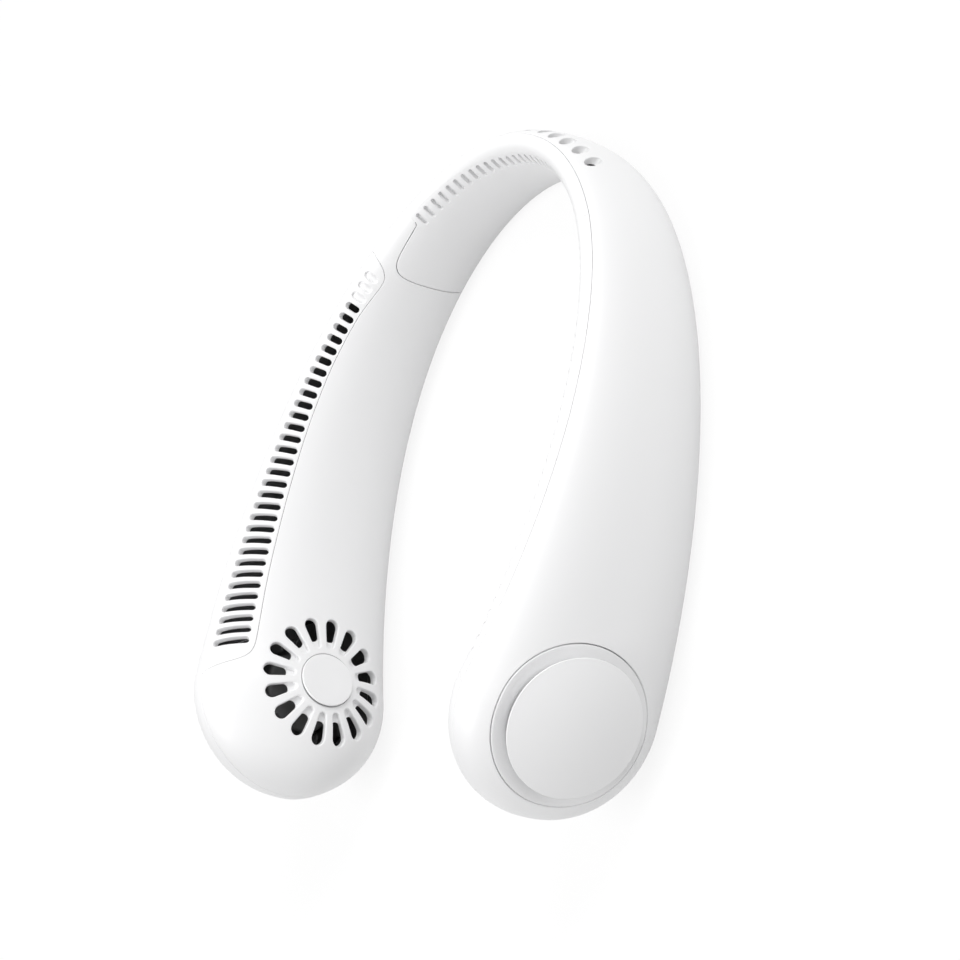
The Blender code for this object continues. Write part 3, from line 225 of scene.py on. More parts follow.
def skin(flat, outer):
    """Points of the housing for places on a flat pattern of its outer or inner face.

    Along the arm the pattern's x is the station, negative on the left arm, and y over
    the quarter girth, times a right angle, is the arc sine of the height share. Over
    the round ends the same holds along every radius from the end's middle. A place past
    a quarter lies on the other face. The section is a superellipse that leans to one
    side: its depth share is (1 - height^p)^(1/p)."""
    x, y = flat[..., 0], flat[..., 1]
    side = np.where(x < 0, -1.0, 1.0)
    along_x = np.abs(x)
    over = np.maximum(along_x - arm_length, 0)
    radial = np.maximum(np.where(over > 0, np.hypot(over, y), np.abs(y)), 1e-12)
    turn = radial / quarter_girth(along_x) * (math.pi / 2)
    past = np.sin(turn) * over / radial
    rise = np.sin(turn) * y / radial
    place = np.minimum(along_x, arm_length)
    share = place / arm_length
    tip_height = np.sqrt(np.maximum(1 - past**2, 1e-12))
    level = np.clip(rise / tip_height, -1, 1)
    is_outer = (np.cos(turn) >= 0) == outer
    depths = [eased(place, arm_length, nape_depth, end, depth_slope)
              for end in (bulb_outer_depth, bulb_inner_depth)]
    depth = np.where(is_outer, *depths)
    power = section_power(share, is_outer)
    across = (1 - np.abs(level) ** power) ** (1 / power) * np.where(is_outer, 1, -1)
    lean = np.where(is_outer, outer_lean, inner_lean) * share
    tip_share = (1 - np.clip(past, 0, 1) ** tip_power) ** (1 / tip_power)
    out = depth * tip_share * across * (1 - lean * level)
    way = heading(place)
    beyond = (bulb_radius - tip_draw) * past
    plan_across = np.interp(place, steps_along, plan_x) + beyond * np.cos(way) + out * np.sin(way)
    plan_back = np.interp(place, steps_along, plan_y) - beyond * np.sin(way) + out * np.cos(way)
    half = half_height(place)
    up = half + arch_lift * np.sin(math.pi * share) ** 2 + half * tip_height * level
    return np.stack([side * plan_across, plan_back + curve_back, up], -1)


def pattern(station, angle, outer):
    """Place on the flat pattern of a station and a section angle, both as in the skin."""
    station, angle = np.broadcast_arrays(np.asarray(station, float), np.asarray(angle, float))
    side = np.where(station < 0, -1.0, 1.0)
    place = np.abs(station)
    share = np.clip(place / arm_length, 0, 1)
    power = section_power(share, np.cos(angle) > 0)
    level = np.sign(np.sin(angle)) * np.abs(np.sin(angle)) ** (2 / power)
    quarter = np.arcsin(np.clip(level, -1, 1)) / (math.pi / 2)
    same_face = (np.cos(angle) >= 0) == outer
    quarter = np.where(same_face, quarter, 2 * np.sign(level) - quarter)
    return np.stack([side * place, quarter * quarter_girth(place)], -1)


def slopes(flat, outer):
    """How the surface point moves per unit of the pattern's x and of its y."""
    step = 4e-5
    sideways, upwards = np.array([step, 0]), np.array([0, step])
    by_x = (skin(flat + sideways, outer) - skin(flat - sideways, outer)) / (2 * step)
    by_y = (skin(flat + upwards, outer) - skin(flat - upwards, outer)) / (2 * step)
    return by_x, by_y


def unit(rows):
    """Rows scaled to length one."""
    return rows / np.maximum(np.linalg.norm(rows, axis=-1, keepdims=True), 1e-15)


def normal_at(flat, outer):
    """Normal that points out of the housing."""
    by_x, by_y = slopes(flat, outer)
    return unit(np.cross(by_y, by_x) if outer else np.cross(by_x, by_y))


def settle(flat, outer, goal, first, second, rounds=8):
    """Newton search for the places whose surface points lie on the goals when both are
    seen along the directions across first and second."""
    flat = np.array(flat, float)
    for _ in range(rounds):
        miss = goal - skin(flat, outer)
        by_x, by_y = slopes(flat, outer)
        a, b = (by_x * first).sum(-1), (by_y * first).sum(-1)
        c, d = (by_x * second).sum(-1), (by_y * second).sum(-1)
        e, f = (miss * first).sum(-1), (miss * second).sum(-1)
        scale = a * d - b * c
        scale = np.where(np.abs(scale) < 1e-6, 1e-6, scale)
        move = np.stack([(d * e - b * f) / scale, (a * f - c * e) / scale], -1)
        flat += np.clip(move, -0.002, 0.002)
    return flat


def shifted(loop, outer, distance, inwards):
    """Closed loop on the pattern moved over the surface by a distance, to its left where
    inwards is true, else to its right."""
    points = skin(loop, outer)
    along = unit(np.roll(points, -1, 0) - np.roll(points, 1, 0))
    by_x, by_y = slopes(loop, outer)
    left = unit(np.cross(np.cross(by_x, by_y), along))
    way = left if inwards else -left
    goal = points + way * np.reshape(distance, (-1, 1))
    return settle(loop, outer, goal, way, along, 3)


def counterclockwise(loop):
    """The loop in the order that has its inside on the left."""
    after = np.roll(loop, -1, 0)
    area = (loop[:, 0] * after[:, 1] - after[:, 0] * loop[:, 1]).sum()
    return loop if area > 0 else loop[::-1]


def rounded_rim(loop, outer, radius, inwards, depths, turns=(30, 60, 90)):
    """Rings of a rim: the rounded edge step by step, then the wall down to each depth.

    At angle t of the round, a ring lies radius (1 - sin t) back from the wall and
    radius (1 - cos t) below the surface, so one step of a right angle is a bevel."""
    front = shifted(loop, outer, radius, inwards)
    rings = [(front, np.zeros(len(loop)))]
    for turn in np.radians(turns):
        sunk = np.broadcast_to(radius * (1 - math.cos(turn)), len(loop))
        rings.append((loop + (front - loop) * (1 - math.sin(turn)), sunk))
    for depth in depths:
        rings.append((loop, np.broadcast_to(depth, len(loop))))
    return rings


def inside(points, loop):
    """Which points lie within a closed loop, by an odd count of crossings."""
    (x0, y0), (x1, y1) = loop.T, np.roll(loop, -1, 0).T
    slope = (x1 - x0) / (y1 - y0 + 1e-30)
    parts = []
    for part in np.array_split(points, max(len(points) // 3000, 1)):
        x, y = part[:, :1], part[:, 1:]
        parts.append((((y0 > y) != (y1 > y)) & (x < slope * (y - y0) + x0)).sum(1) % 2 == 1)
    return np.concatenate(parts)


def owners_near(places, owners, asked, cell, reach):
    """Lowest and highest owner of the places within a reach, in cells, of those asked.

    The places are marked on a raster, whose marks are spread by every step in reach."""
    low = places.min(0) - (reach + 3) * cell
    shape = tuple(((places.max(0) - low) / cell).astype(int) + reach + 4)
    lowest, highest = np.full(shape, 9999, np.int32), np.full(shape, -1, np.int32)
    index = tuple(np.rint((places - low) / cell).astype(int).T)
    np.minimum.at(lowest, index, owners)
    np.maximum.at(highest, index, owners)
    wide_lowest, wide_highest = lowest.copy(), highest.copy()
    for right, up in itertools.product(range(-reach, reach + 1), repeat=2):
        if right * right + up * up <= reach * reach:
            np.minimum(wide_lowest, np.roll(lowest, (right, up), (0, 1)), out=wide_lowest)
            np.maximum(wide_highest, np.roll(highest, (right, up), (0, 1)), out=wide_highest)
    at = tuple(np.clip(np.rint((asked - low) / cell).astype(int), 0, np.array(shape) - 1).T)
    return wide_lowest[at], wide_highest[at]


def between(points, loops):
    """Which points lie inside the first loop and outside all the others."""
    keep = inside(points, loops[0])
    for loop in loops[1:]:
        near = np.flatnonzero(((points > loop.min(0)) & (points < loop.max(0))).all(1))
        keep[near[inside(points[near], loop)]] = False
    return keep


def meshed(name, points, faces, crease):
    """Smooth mesh object that keeps sharp edges past the crease angle, in degrees."""
    mesh = bpy.data.meshes.new(name)
    mesh.from_pydata(points.tolist(), [], faces)
    mesh.shade_smooth()
    mesh.set_sharp_from_angle(angle=math.radians(crease))
    return linked(name, mesh)


def moulding(name, outer, outline, openings, thickness, pitch=grid_pitch):
    """Closed moulding over a region of the flat pattern.

    Outline and openings are lists of rings that start on the surface, the outline one
    list and each opening a pair of its rings and whether it is a pocket. The region
    between them is filled with a triangular net of points. A copy lies one thickness
    under it, and rims and pocket floors join the two."""
    loops = [outline[0][0]] + [rings[0][0] for rings, _ in openings]
    lengths = [len(loop) for loop in loops]
    guards = [shifted(loop, outer, guard_width, number == 0) for number, loop in enumerate(loops)]
    low, high = loops[0].min(0), loops[0].max(0)
    columns = np.arange(low[0], high[0], pitch)
    rows = np.arange(low[1], high[1], pitch * 0.866)
    net = np.stack(np.meshgrid(columns, rows), -1)
    net[1::2, :, 0] += pitch / 2
    net = net.reshape(-1, 2)
    net = net[between(net, guards)]
    fronts = np.concatenate(loops)
    owners = np.repeat(np.arange(len(loops)), lengths)
    guards = np.concatenate(guards)
    lowest, highest = owners_near(fronts, owners, guards, guard_cell, 2)
    guards = guards[((lowest == owners) & (highest == owners)) | (highest < 0)]
    guards = guards[inside(guards, loops[0])]
    placed = np.concatenate([fronts, guards])
    reach = int(pitch * clear_share / net_cell)
    highest = owners_near(placed, np.zeros(len(placed), int), net, net_cell, reach)[1]
    net = net[highest < 0]
    orders = np.split(np.arange(sum(lengths)), np.cumsum(lengths)[:-1])
    edges = np.concatenate([np.stack([order, np.roll(order, -1)], 1) for order in orders]).tolist()
    flats = np.concatenate([placed, net])
    solved = delaunay_2d_cdt(flats.tolist(), edges, [], 0, 1e-8)
    places = np.array(solved[0])
    triangles = np.array(solved[2])
    source = np.zeros(len(flats), int)
    groups = np.fromiter(itertools.chain.from_iterable(solved[3]), int)
    source[groups] = np.repeat(np.arange(len(places)), list(map(len, solved[3])))
    members = [source[order] for order in orders]
    triangles = triangles[between(places[triangles].mean(1), loops)]
    under = places.copy()
    blocks, faces, kinds = [], [], []
    total = 2 * len(places)

    def add_ring(flat, depth):
        """Numbers of new points at places on the pattern, sunk by a depth."""
        nonlocal total
        blocks.append((flat, np.broadcast_to(depth, len(flat))))
        total += len(flat)
        return np.arange(total - len(flat), total)

    def join(before, after, forward, kind):
        """Adds the quads between two rings of point numbers, with their material's number."""
        ahead, beyond = np.roll(before, -1), np.roll(after, -1)
        corners = [before, ahead, beyond, after]
        strip = np.stack(corners if forward else corners[::-1], 1)
        faces.extend(strip.tolist())
        kinds.extend([kind] * len(strip))

    for number, (rings, pocket) in enumerate([(outline, False)] + openings):
        forward = number > 0
        before = members[number]
        last = rings[-1]
        for flat, depth in rings[1:] if pocket else rings[1:-1]:
            ring = add_ring(flat, depth)
            join(before, ring, forward, 0)
            before = ring
        if pocket:
            behind = members[number] + len(places)
            ends = ((before, last, 0, True), (behind, (rings[0][0], thickness), 1, False))
            for base, (flat, depth), kind, up in ends:
                centre = add_ring(flat.mean(0)[None], np.mean(depth))[0]
                ahead = np.roll(base, -1)
                fan = np.stack([base, ahead, np.full(len(base), centre)], 1)
                faces.extend((fan if up else fan[:, ::-1]).tolist())
                kinds.extend([kind] * len(fan))
        else:
            under[members[number]] = last[0]
            join(before, members[number] + len(places), forward, 0)
    front = triangles.tolist()
    behind = (triangles[:, ::-1] + len(places)).tolist()
    flat_all = np.concatenate([places, under] + [flat for flat, _ in blocks])
    depths = [np.zeros(len(places)), np.full(len(places), thickness)] + [depth for _, depth in blocks]
    points = skin(flat_all, outer) - normal_at(flat_all, outer) * np.concatenate(depths)[:, None]
    faces = front + behind + faces
    kinds = [0] * len(front) + [1] * len(behind) + kinds
    if outer:
        faces = [face[::-1] for face in faces]
    piece = meshed(name, points, faces, moulding_crease)
    piece.data.polygons.foreach_set("material_index", kinds)
    return piece


def spaced(loop, spacing):
    """Open line on the pattern, sampled again at an even spacing."""
    lengths = np.concatenate([[0], np.cumsum(np.hypot(*np.diff(loop, axis=0).T))])
    count = max(int(round(lengths[-1] / spacing)), 2)
    at = np.linspace(0, lengths[-1], count + 1)
    return np.stack([np.interp(at, lengths, loop[:, 0]), np.interp(at, lengths, loop[:, 1])], -1)


def end_arc(outer):
    """Parting line round the right end, from its top to its underside."""
    turn = np.linspace(math.pi / 2, -math.pi / 2, 120)
    radius = quarter_girth(arm_length)
    return np.stack([arm_length + radius * np.cos(turn), radius * np.sin(turn)], -1)


def seam_angle(station):
    """Section angle of the parting line on the crest."""
    return np.interp(np.abs(station) / arm_length, line_shares, seam_angles)


def level_line(start, end, count, angle, outer=False):
    """Line on the pattern between two stations: at one section angle, or at the angle that
    a function gives for each station."""
    stations = np.linspace(start, end, count)
    return spaced(pattern(stations, angle(stations) if callable(angle) else angle, outer), 0.001)


def closed_loop(*lines):
    """Lines joined end to end into one closed loop, without their doubled ends."""
    loop = np.concatenate([line[:-1] for line in lines])
    return counterclockwise(loop)


def local_frame(flat, outer):
    """Point of a pattern place, directions along the arm and round it, and normal."""
    by_x, by_y = slopes(flat, outer)
    ahead = unit(by_x) * (1 if flat[0] >= 0 else -1)
    return skin(flat, outer), ahead, unit(by_y) * (1 if outer else -1), normal_at(flat, outer)


def placed_on(shape, flat, outer, point, first, second):
    """Places on the pattern whose surface points show a flat shape drawn on two axes."""
    goal = point + shape[:, :1] * first + shape[:, 1:] * second
    by_x, by_y = slopes(flat, outer)
    table = np.stack([by_x, by_y], -1)
    start = flat + (goal - point) @ np.linalg.pinv(table).T
    return settle(start, outer, goal, first, second)


def drawn(shape, flat, outer, point, first, second):
    """The same places in the order that has the shape's inside on the left."""
    return counterclockwise(placed_on(shape, flat, outer, point, first, second))


def stadium(length, width, ends=8, sides=7):
    """Closed outline of a slot with round ends, its long way first."""
    radius, straight = width / 2, length / 2 - width / 2
    turn = np.linspace(-math.pi / 2, math.pi / 2, ends + 1)
    right = np.stack([straight + radius * np.cos(turn), radius * np.sin(turn)], -1)
    across = np.linspace(straight, -straight, sides + 1)[1:-1]
    top = np.stack([across, np.full(len(across), radius)], -1)
    return np.concatenate([right, top, -right, -top])


def circle(radius, count=64):
    """Closed outline of a disc."""
    turn = np.arange(count) * 2 * math.pi / count
    return np.stack([radius * np.cos(turn), radius * np.sin(turn)], -1)


def surface_group(name, inputs, noises, tones, dimple):
    """Node group that tints, roughens and dimples a surface by noise: the colour is scaled
    between two tones, and the noise is added to the roughness and is the bump's height."""
    group = bpy.data.node_groups.new(name, "ShaderNodeTree")
    for label, value in inputs.items():
        kind = "NodeSocketColor" if label == "Colour" else "NodeSocketFloat"
        group.interface.new_socket(name=label, in_out="INPUT", socket_type=kind).default_value = value
    for label, kind in (("Colour", "Color"), ("Roughness", "Float"), ("Normal", "Vector")):
        group.interface.new_socket(name=label, in_out="OUTPUT", socket_type="NodeSocket" + kind)
    given = group.nodes.new("NodeGroupInput").outputs
    place = added(group, "TexCoord", {}).outputs["Object"]
    broad, fine, rough_share, strength = noises(group, place, given)
    tone = added(group, "MapRange", {"Value": broad, "To Min": tones[0], "To Max": tones[1]})
    tint = added(group, "VectorMath", {0: given["Colour"], "Scale": tone.outputs["Result"]},
                 operation="SCALE")
    rough = added(group, "Math", {0: fine, 1: rough_share, 2: given["Roughness"]},
                  operation="MULTIPLY_ADD")
    bump = added(group, "Bump", {"Distance": dimple, "Strength": strength, "Height": fine})
    ends = group.nodes.new("NodeGroupOutput").inputs
    for label, node in (("Colour", tint), ("Roughness", rough), ("Normal", bump)):
        group.links.new(node.outputs[0], ends[label])
    return group


def plastic_noise(group, place, given):
    """Broad and fine noise of moulded plastic, what it adds to the roughness, its depth."""
    broad = added(group, "TexNoise", {"Vector": place, "Scale": 14, "Detail": 2})
    fine = added(group, "TexNoise", {"Vector": place, "Scale": given["Grain Size"], "Detail": 3})
    return broad.outputs["Fac"], fine.outputs["Fac"], 0.12, given["Depth"]


def grained(group, name, colour, roughness, values, metallic=0.0):
    """Material with a group of noise in front of its Principled shader."""
    made, shader = principled(name, colour, roughness, metallic)
    inputs = {"Colour": (*colour, 1), "Roughness": roughness, **values}
    grain = added(made.node_tree, "Group", inputs, node_tree=group)
    for label, socket in (("Colour", "Base Color"), ("Roughness", "Roughness"), ("Normal", "Normal")):
        made.node_tree.links.new(grain.outputs[label], shader.inputs[socket])
    return made


plastic_inputs = {"Colour": (0.8, 0.8, 0.8, 1), "Roughness": 0.4, "Grain Size": 900.0, "Depth": 0.02}
plastic_group = surface_group("moulded_grain", plastic_inputs, plastic_noise, (0.99, 1.01), 0.00002)


def moulded(name, colour, roughness, grain=900.0, depth=0.3):
    """Moulded plastic of a grain size and depth."""
    return grained(plastic_group, name, colour, roughness, {"Grain Size": grain, "Depth": depth})


def fitted(piece, node, slot, *materials, body="housing"):
    """Gives a piece its materials and its body, and hides the node that it replaces. The slot is not used.
    """
    for material in materials:
        piece.data.materials.append(material)
    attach(piece, body)
    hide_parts(node)


satin_white = moulded("satin_white", (0.90, 0.90, 0.905), 0.34)
# Dark grey on the hidden inner faces of the mouldings, seen through their openings and slots: painted shade,
# as the plastic there is the same white.
painted_shade_inside = moulded("painted_shade_inside", (0.21, 0.21, 0.213), 0.8)

crest = level_line(-arm_length, arm_length, 900, seam_angle, True)
underside = level_line(arm_length, -arm_length, 900, -math.pi / 2, True)
right_end = end_arc(True)
left_end = right_end[::-1] * np.array([-1, 1])
outer_loop = closed_loop(crest, right_end, underside, left_end)
outer_loop = shifted(outer_loop, True, parting_gap, True)
outer_outline = rounded_rim(outer_loop, True, parting_bevel, True, [wall], [90])

hole_rim, hole_edge, control_gap = 0.0002, 0.0004, 0.00012
hole_size, throat_size, throat_shift = (0.0037, 0.0019), (0.0029, 0.0016), 0.0006
steepest, slant_rate = 36, 1.4
hole_places = [(0, 6.2), (6.2, 6.2), (12.4, 6.5), (18.5, 7.3), (24.5, 7.4), (30.9, 6.9), (37.8, 6.3)]
outer_openings = []
for index in range(-6, 7):
    station, level = hole_places[abs(index)]
    flat = np.array([math.copysign(station, index) + 0.01, level]) / 1000
    point, ahead, round_way, _ = local_frame(flat, True)
    slant = math.radians(min(steepest, slant_rate * station))
    long_way = round_way * math.cos(slant) + ahead * math.sin(slant)
    wide_way = ahead * math.cos(slant) - round_way * math.sin(slant)
    oval = drawn(circle(1, 40) * hole_size, flat, True, point, long_way, wide_way)
    point = point + throat_shift * long_way
    throat = drawn(circle(1, 40) * throat_size, flat, True, point, long_way, wide_way)
    rings = rounded_rim(oval, True, hole_rim, False, [hole_edge]) + [(throat, np.full(40, wall))]
    outer_openings.append((rings, False))


axis_turn, axis_tilt, axis_rise, cover_shift = math.radians(3), math.radians(8), 0.0005, 0.0005


def fan_axes(side):
    """Point on the axis of a blower and its three directions, the last one outwards."""
    turn = float(end_headings[2]) + axis_turn
    level = math.cos(axis_tilt)
    outwards = np.array([side * math.sin(turn) * level, math.cos(turn) * level, math.sin(axis_tilt)])
    first = np.array([side * math.cos(turn), -math.sin(turn), 0])
    point = np.array([side * plan_x[-1], plan_y[-1] + curve_back, bulb_radius + axis_rise])
    return point, first, np.cross(outwards, first), outwards


def cover_axes(side):
    """The blower's axes, moved a little towards the tip and the underside."""
    point, first, second, outwards = fan_axes(side)
    return point + cover_shift * first + cover_shift * side * second, first, second, outwards


def cover_opening(radius, count, side):
    """Outline of the opening: a circle drawn in a little on the arm's side, where its
    radius changes by 0.0005 cos t - 0.0005 cos^2 t + 0.0003 sin t."""
    turn = np.arange(count) * 2 * math.pi / count
    reach = radius + 0.0005 * (np.cos(turn) - np.cos(turn) ** 2) + 0.0003 * side * np.sin(turn)
    return circle(1, count) * reach[:, None], reach


bezel_radius, bezel_gap, bezel_rim = 0.0217, 0.0004, 0.00012
for side in (-1, 1):
    point, first, second, outwards = cover_axes(side)
    shape = cover_opening(bezel_radius + bezel_gap, 120, side)[0]
    ring = drawn(shape, np.array([side * arm_length, 0.0]), True, point, first, second)
    outer_openings.append((rounded_rim(ring, True, bezel_rim, False, [wall]), False))

button_radius = 0.0040
light_radius = 0.0008
control_out = np.array([-0.996117, -0.088042, 0])
control_along = np.array([0.088042, -0.996117, 0])
upwards = np.array([0, 0, 1.0])
control_station, mouth_angle, mouth_size = -0.157, -1.15, (0.0096, 0.0039)
control_flat = pattern(control_station, 0.0, True)


def node_middle(node):
    """Middle of a CAD node's box."""
    low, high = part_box(node)
    return np.array((low + high) / 2)


for node, radius in (("power_button", button_radius), ("indicator_lens", light_radius)):
    shape = circle(radius + control_gap, 56)
    hole = drawn(shape, control_flat, True, node_middle(node), control_along, upwards)
    outer_openings.append((rounded_rim(hole, True, hole_rim, False, [wall]), False))
socket_flat = pattern(control_station, mouth_angle, True)
mouth_shape = stadium(*mouth_size, 10, 10)
mouth = drawn(mouth_shape, socket_flat, True, node_middle("charging_socket"), control_along, control_out)
outer_openings.append((rounded_rim(mouth, True, hole_rim, False, [wall]), False))

outer_shell = moulding("outer_shell_skin", True, outer_outline, outer_openings, wall)
fitted(outer_shell, "outer_shell", "white_shell", satin_white, painted_shade_inside)

# Inner shell
# The inner half of the housing, the same white moulding on the neck's side. A ring of
# petal-shaped inlets round each hub has ramps that run down to the open part, and the
# shell is notched for the two outlet strips and the pad.
strip_start, strip_end = 0.0600, 0.1914
strip_marks = np.array([(59.75, 1.12), (59.7, 0.92), (60.6, 0.73), (62.0, 0.60), (63.8, 0.515),
                        (66.0, 0.486), (69.5, 0.497), (73.0, 0.518), (78.0, 0.545), (84, 0.555),
                        (95, 0.561), (105, 0.552), (113, 0.542), (122.5, 0.528), (130, 0.517),
                        (138.6, 0.507), (144.5, 0.501),
                        (156.9, 0.492), (166.7, 0.484), (177.5, 0.475), (183.0, 0.479), (185.4, 0.502),
                        (187.0, 0.560), (188.2, 0.660), (189.4, 0.801), (190.5, 0.930)])


def mixed(t, start, end, first, last):
    """Straight mix of two points, for t between the knots start and end."""
    return (end - t) / (end - start) * first + (t - start) / (end - start) * last


def smooth_line(points, steps=12):
    """Centripetal curve through points, each span a cubic of its four neighbours."""
    ends = np.concatenate([[2 * points[0] - points[1]], points, [2 * points[-1] - points[-2]]])
    knots = np.concatenate([[0], np.cumsum(np.sqrt(np.hypot(*np.diff(ends, axis=0).T)))])
    line = []
    for span in range(1, len(ends) - 2):
        near, knot = ends[span - 1 : span + 3], knots[span - 1 : span + 3]
        t = np.linspace(knot[1], knot[2], steps, endpoint=False)[:, None]
        first, middle, last = [mixed(t, *knot[i : i + 2], *near[i : i + 2]) for i in range(3)]
        before = mixed(t, knot[0], knot[2], first, middle)
        after = mixed(t, knot[1], knot[3], middle, last)
        line.append(mixed(t, knot[1], knot[2], before, after))
    return np.concatenate(line + [points[-1:]])


def marked_line(marks, spacing):
    """Smooth line through marks of a station in millimetres and a share of the quarter."""
    stations = marks[:, 0] / 1000
    flats = np.stack([stations, marks[:, 1] * quarter_girth(stations)], -1)
    return spaced(smooth_line(flats), spacing)


def seam_share(station):
    """Share of the quarter at which the crest's parting line lies on the inner pattern."""
    return float(pattern(station, seam_angle(station), False)[1] / quarter_girth(station))


def strip_line():
    """Edge of the right outlet strip on the pattern, from its nape end to its bulb end."""
    first, last = [(side * 1000, seam_share(side)) for side in (strip_start, strip_end)]
    return marked_line(np.concatenate([[first], strip_marks, [last]]), 0.0008)


def mirrored(line):
    """The same line on the left arm, in the order that goes on along the outline."""
    return line[::-1] * np.array([-1, 1])


groove_step = 0.0035
pad_marks = np.array([(0.0, 0.700), (10, 0.726), (20, 0.755), (30, 0.785), (38, 0.807), (42.6, 0.815),
                      (43.5, 0.800), (43.8, 0.745), (44.0, 0.650), (44.7, 0.594), (47.0, 0.569),
                      (50.3, 0.543), (53.5, 0.523), (56.2, 0.503), (57.9, 0.483), (59.4, 0.450),
                      (60.7, 0.397), (61.6, 0.325), (62.1, 0.220), (62.3, 0.058), (62.3, -0.105),
                      (62.3, -0.30), (62.2, -0.60), (62.1, -1.0)])


pad_reach, pad_shoulder, grooves_reach = 0.0628, 0.055, 0.0440
pad_gap, pad_bevel, closed_gap, closed_bevel = 0.00008, 0.00016, 0.000006, 0.000008


def parting(flat):
    """Half the gap and the bevel of a parting line: closed over the grooves, open round
    the rest of the pad, fine elsewhere."""
    place, share = np.abs(flat[:, 0]), flat[:, 1] / quarter_girth(np.abs(flat[:, 0]))
    on_pad = (place < pad_reach) & (share < np.where(place > pad_shoulder, 0.53, 0.90)) & (share > -0.99)
    closed = (place < grooves_reach) & on_pad
    gap = np.where(closed, closed_gap, np.where(on_pad, pad_gap, parting_gap))
    return gap, np.where(closed, closed_bevel, np.where(on_pad, pad_bevel, parting_bevel))


def parted(loop, outer, depth):
    """Rings of an outline's rim at a parting line, drawn back by its gap and bevelled."""
    gap, bevel = parting(loop)
    return rounded_rim(shifted(loop, outer, gap, True), outer, bevel, True, [depth], [90])


strip = strip_line()
pad_end = pad_marks[-1, 0] / 1000
seam_nape = level_line(-strip_start, strip_start, 300, seam_angle)
seam_tip = level_line(strip_end, arm_length, 300, seam_angle)
bottom_arm = level_line(arm_length, pad_end, 400, 1.5 * math.pi)
pad_half = marked_line(pad_marks, 0.0004)
inner_end = end_arc(False)
right_lines = [strip, seam_tip, inner_end, bottom_arm, pad_half[::-1]]
inner_loop = closed_loop(seam_nape, *right_lines, *map(mirrored, right_lines[::-1]))
inner_outline = parted(inner_loop, False, wall)

petal_count = 16
petal_inner, petal_lip, petal_outer = 0.0096, 0.0131, 0.0186
petal_widths = (0.0022, 0.0039)
petal_turn = math.radians(6)
ramp_start, lip_depth, petal_rim = 0.0006, 0.0014, 0.0003
seat_gap, seat_rim, seat_depth = 0.00015, 0.00015, 0.0009


def petal_shape():
    """Closed outline of one inlet slot along +x: straight sides that spread outwards, a
    small round inner end and a large round outer end. Also each point's share of the
    ramp, one on the open part."""
    inner_radius, outer_radius = petal_widths[0] / 2, petal_widths[1] / 2
    inner_middle, outer_middle = petal_inner + inner_radius, petal_outer - outer_radius
    lean = math.asin((outer_radius - inner_radius) / (outer_middle - inner_middle))
    turn = np.linspace(-math.pi / 2 - lean, math.pi / 2 + lean, 13)
    outer = np.stack([outer_middle + outer_radius * np.cos(turn), outer_radius * np.sin(turn)], -1)
    turn = np.linspace(math.pi / 2 + lean, 1.5 * math.pi - lean, 9)
    inner = np.stack([inner_middle + inner_radius * np.cos(turn), inner_radius * np.sin(turn)], -1)
    side = np.linspace(outer[-1], inner[0], 12)[1:-1]
    other = side[::-1] * np.array([1, -1])
    return np.concatenate([outer, side, inner, other])


shape = petal_shape()
on_ramp = shape[:, 0] < petal_lip
lip_half = float(np.interp(petal_lip, shape[20:14:-1, 0], shape[20:14:-1, 1]))
fan_turn = np.linspace(math.pi / 2, 1.5 * math.pi, on_ramp.sum())
lip_shape = shape.copy()
lip_x = petal_lip + 0.0001 + lip_half * 0.8 * np.cos(fan_turn)
lip_shape[on_ramp] = np.stack([lip_x, lip_half * np.sin(fan_turn)], -1)
ramp_share = np.clip((shape[:, 0] - petal_inner) / (petal_lip - petal_inner), 0, 1)
ramp_depth = ramp_start + (lip_depth - ramp_start) * ramp_share
badge_radius = 0.0078
inlet_shift = np.array([-0.0012, -0.0012])
inner_openings = []
for side in (-1, 1):
    flat = np.array([side * (arm_length + inlet_shift[0]), inlet_shift[1]])
    point, ahead, _, normal = local_frame(flat, False)
    across = unit(np.cross(normal, ahead))
    for index in range(petal_count):
        turn = 2 * math.pi * (index + 0.5) / petal_count - side * petal_turn
        radial = ahead * math.cos(turn) + across * math.sin(turn)
        sideways = unit(np.cross(normal, radial))
        goal_shape = drawn(shape, flat, False, point, radial, sideways)
        lip = drawn(lip_shape, flat, False, point, radial, sideways)
        rings = rounded_rim(goal_shape, False, petal_rim, False, [])
        rings.append((goal_shape, ramp_depth if side > 0 else ramp_depth[::-1]))
        rings += [(lip, np.full(len(lip), depth)) for depth in (lip_depth, wall)]
        inner_openings.append((rings, False))
    seat = drawn(circle(badge_radius + seat_gap, 72), flat, False, point, ahead, across)
    inner_openings.append((rounded_rim(seat, False, seat_rim, False, [seat_depth]), True))

inner_shell = moulding("inner_shell_skin", False, inner_outline, inner_openings, wall)
fitted(inner_shell, "inner_shell", "white_shell", satin_white, painted_shade_inside)

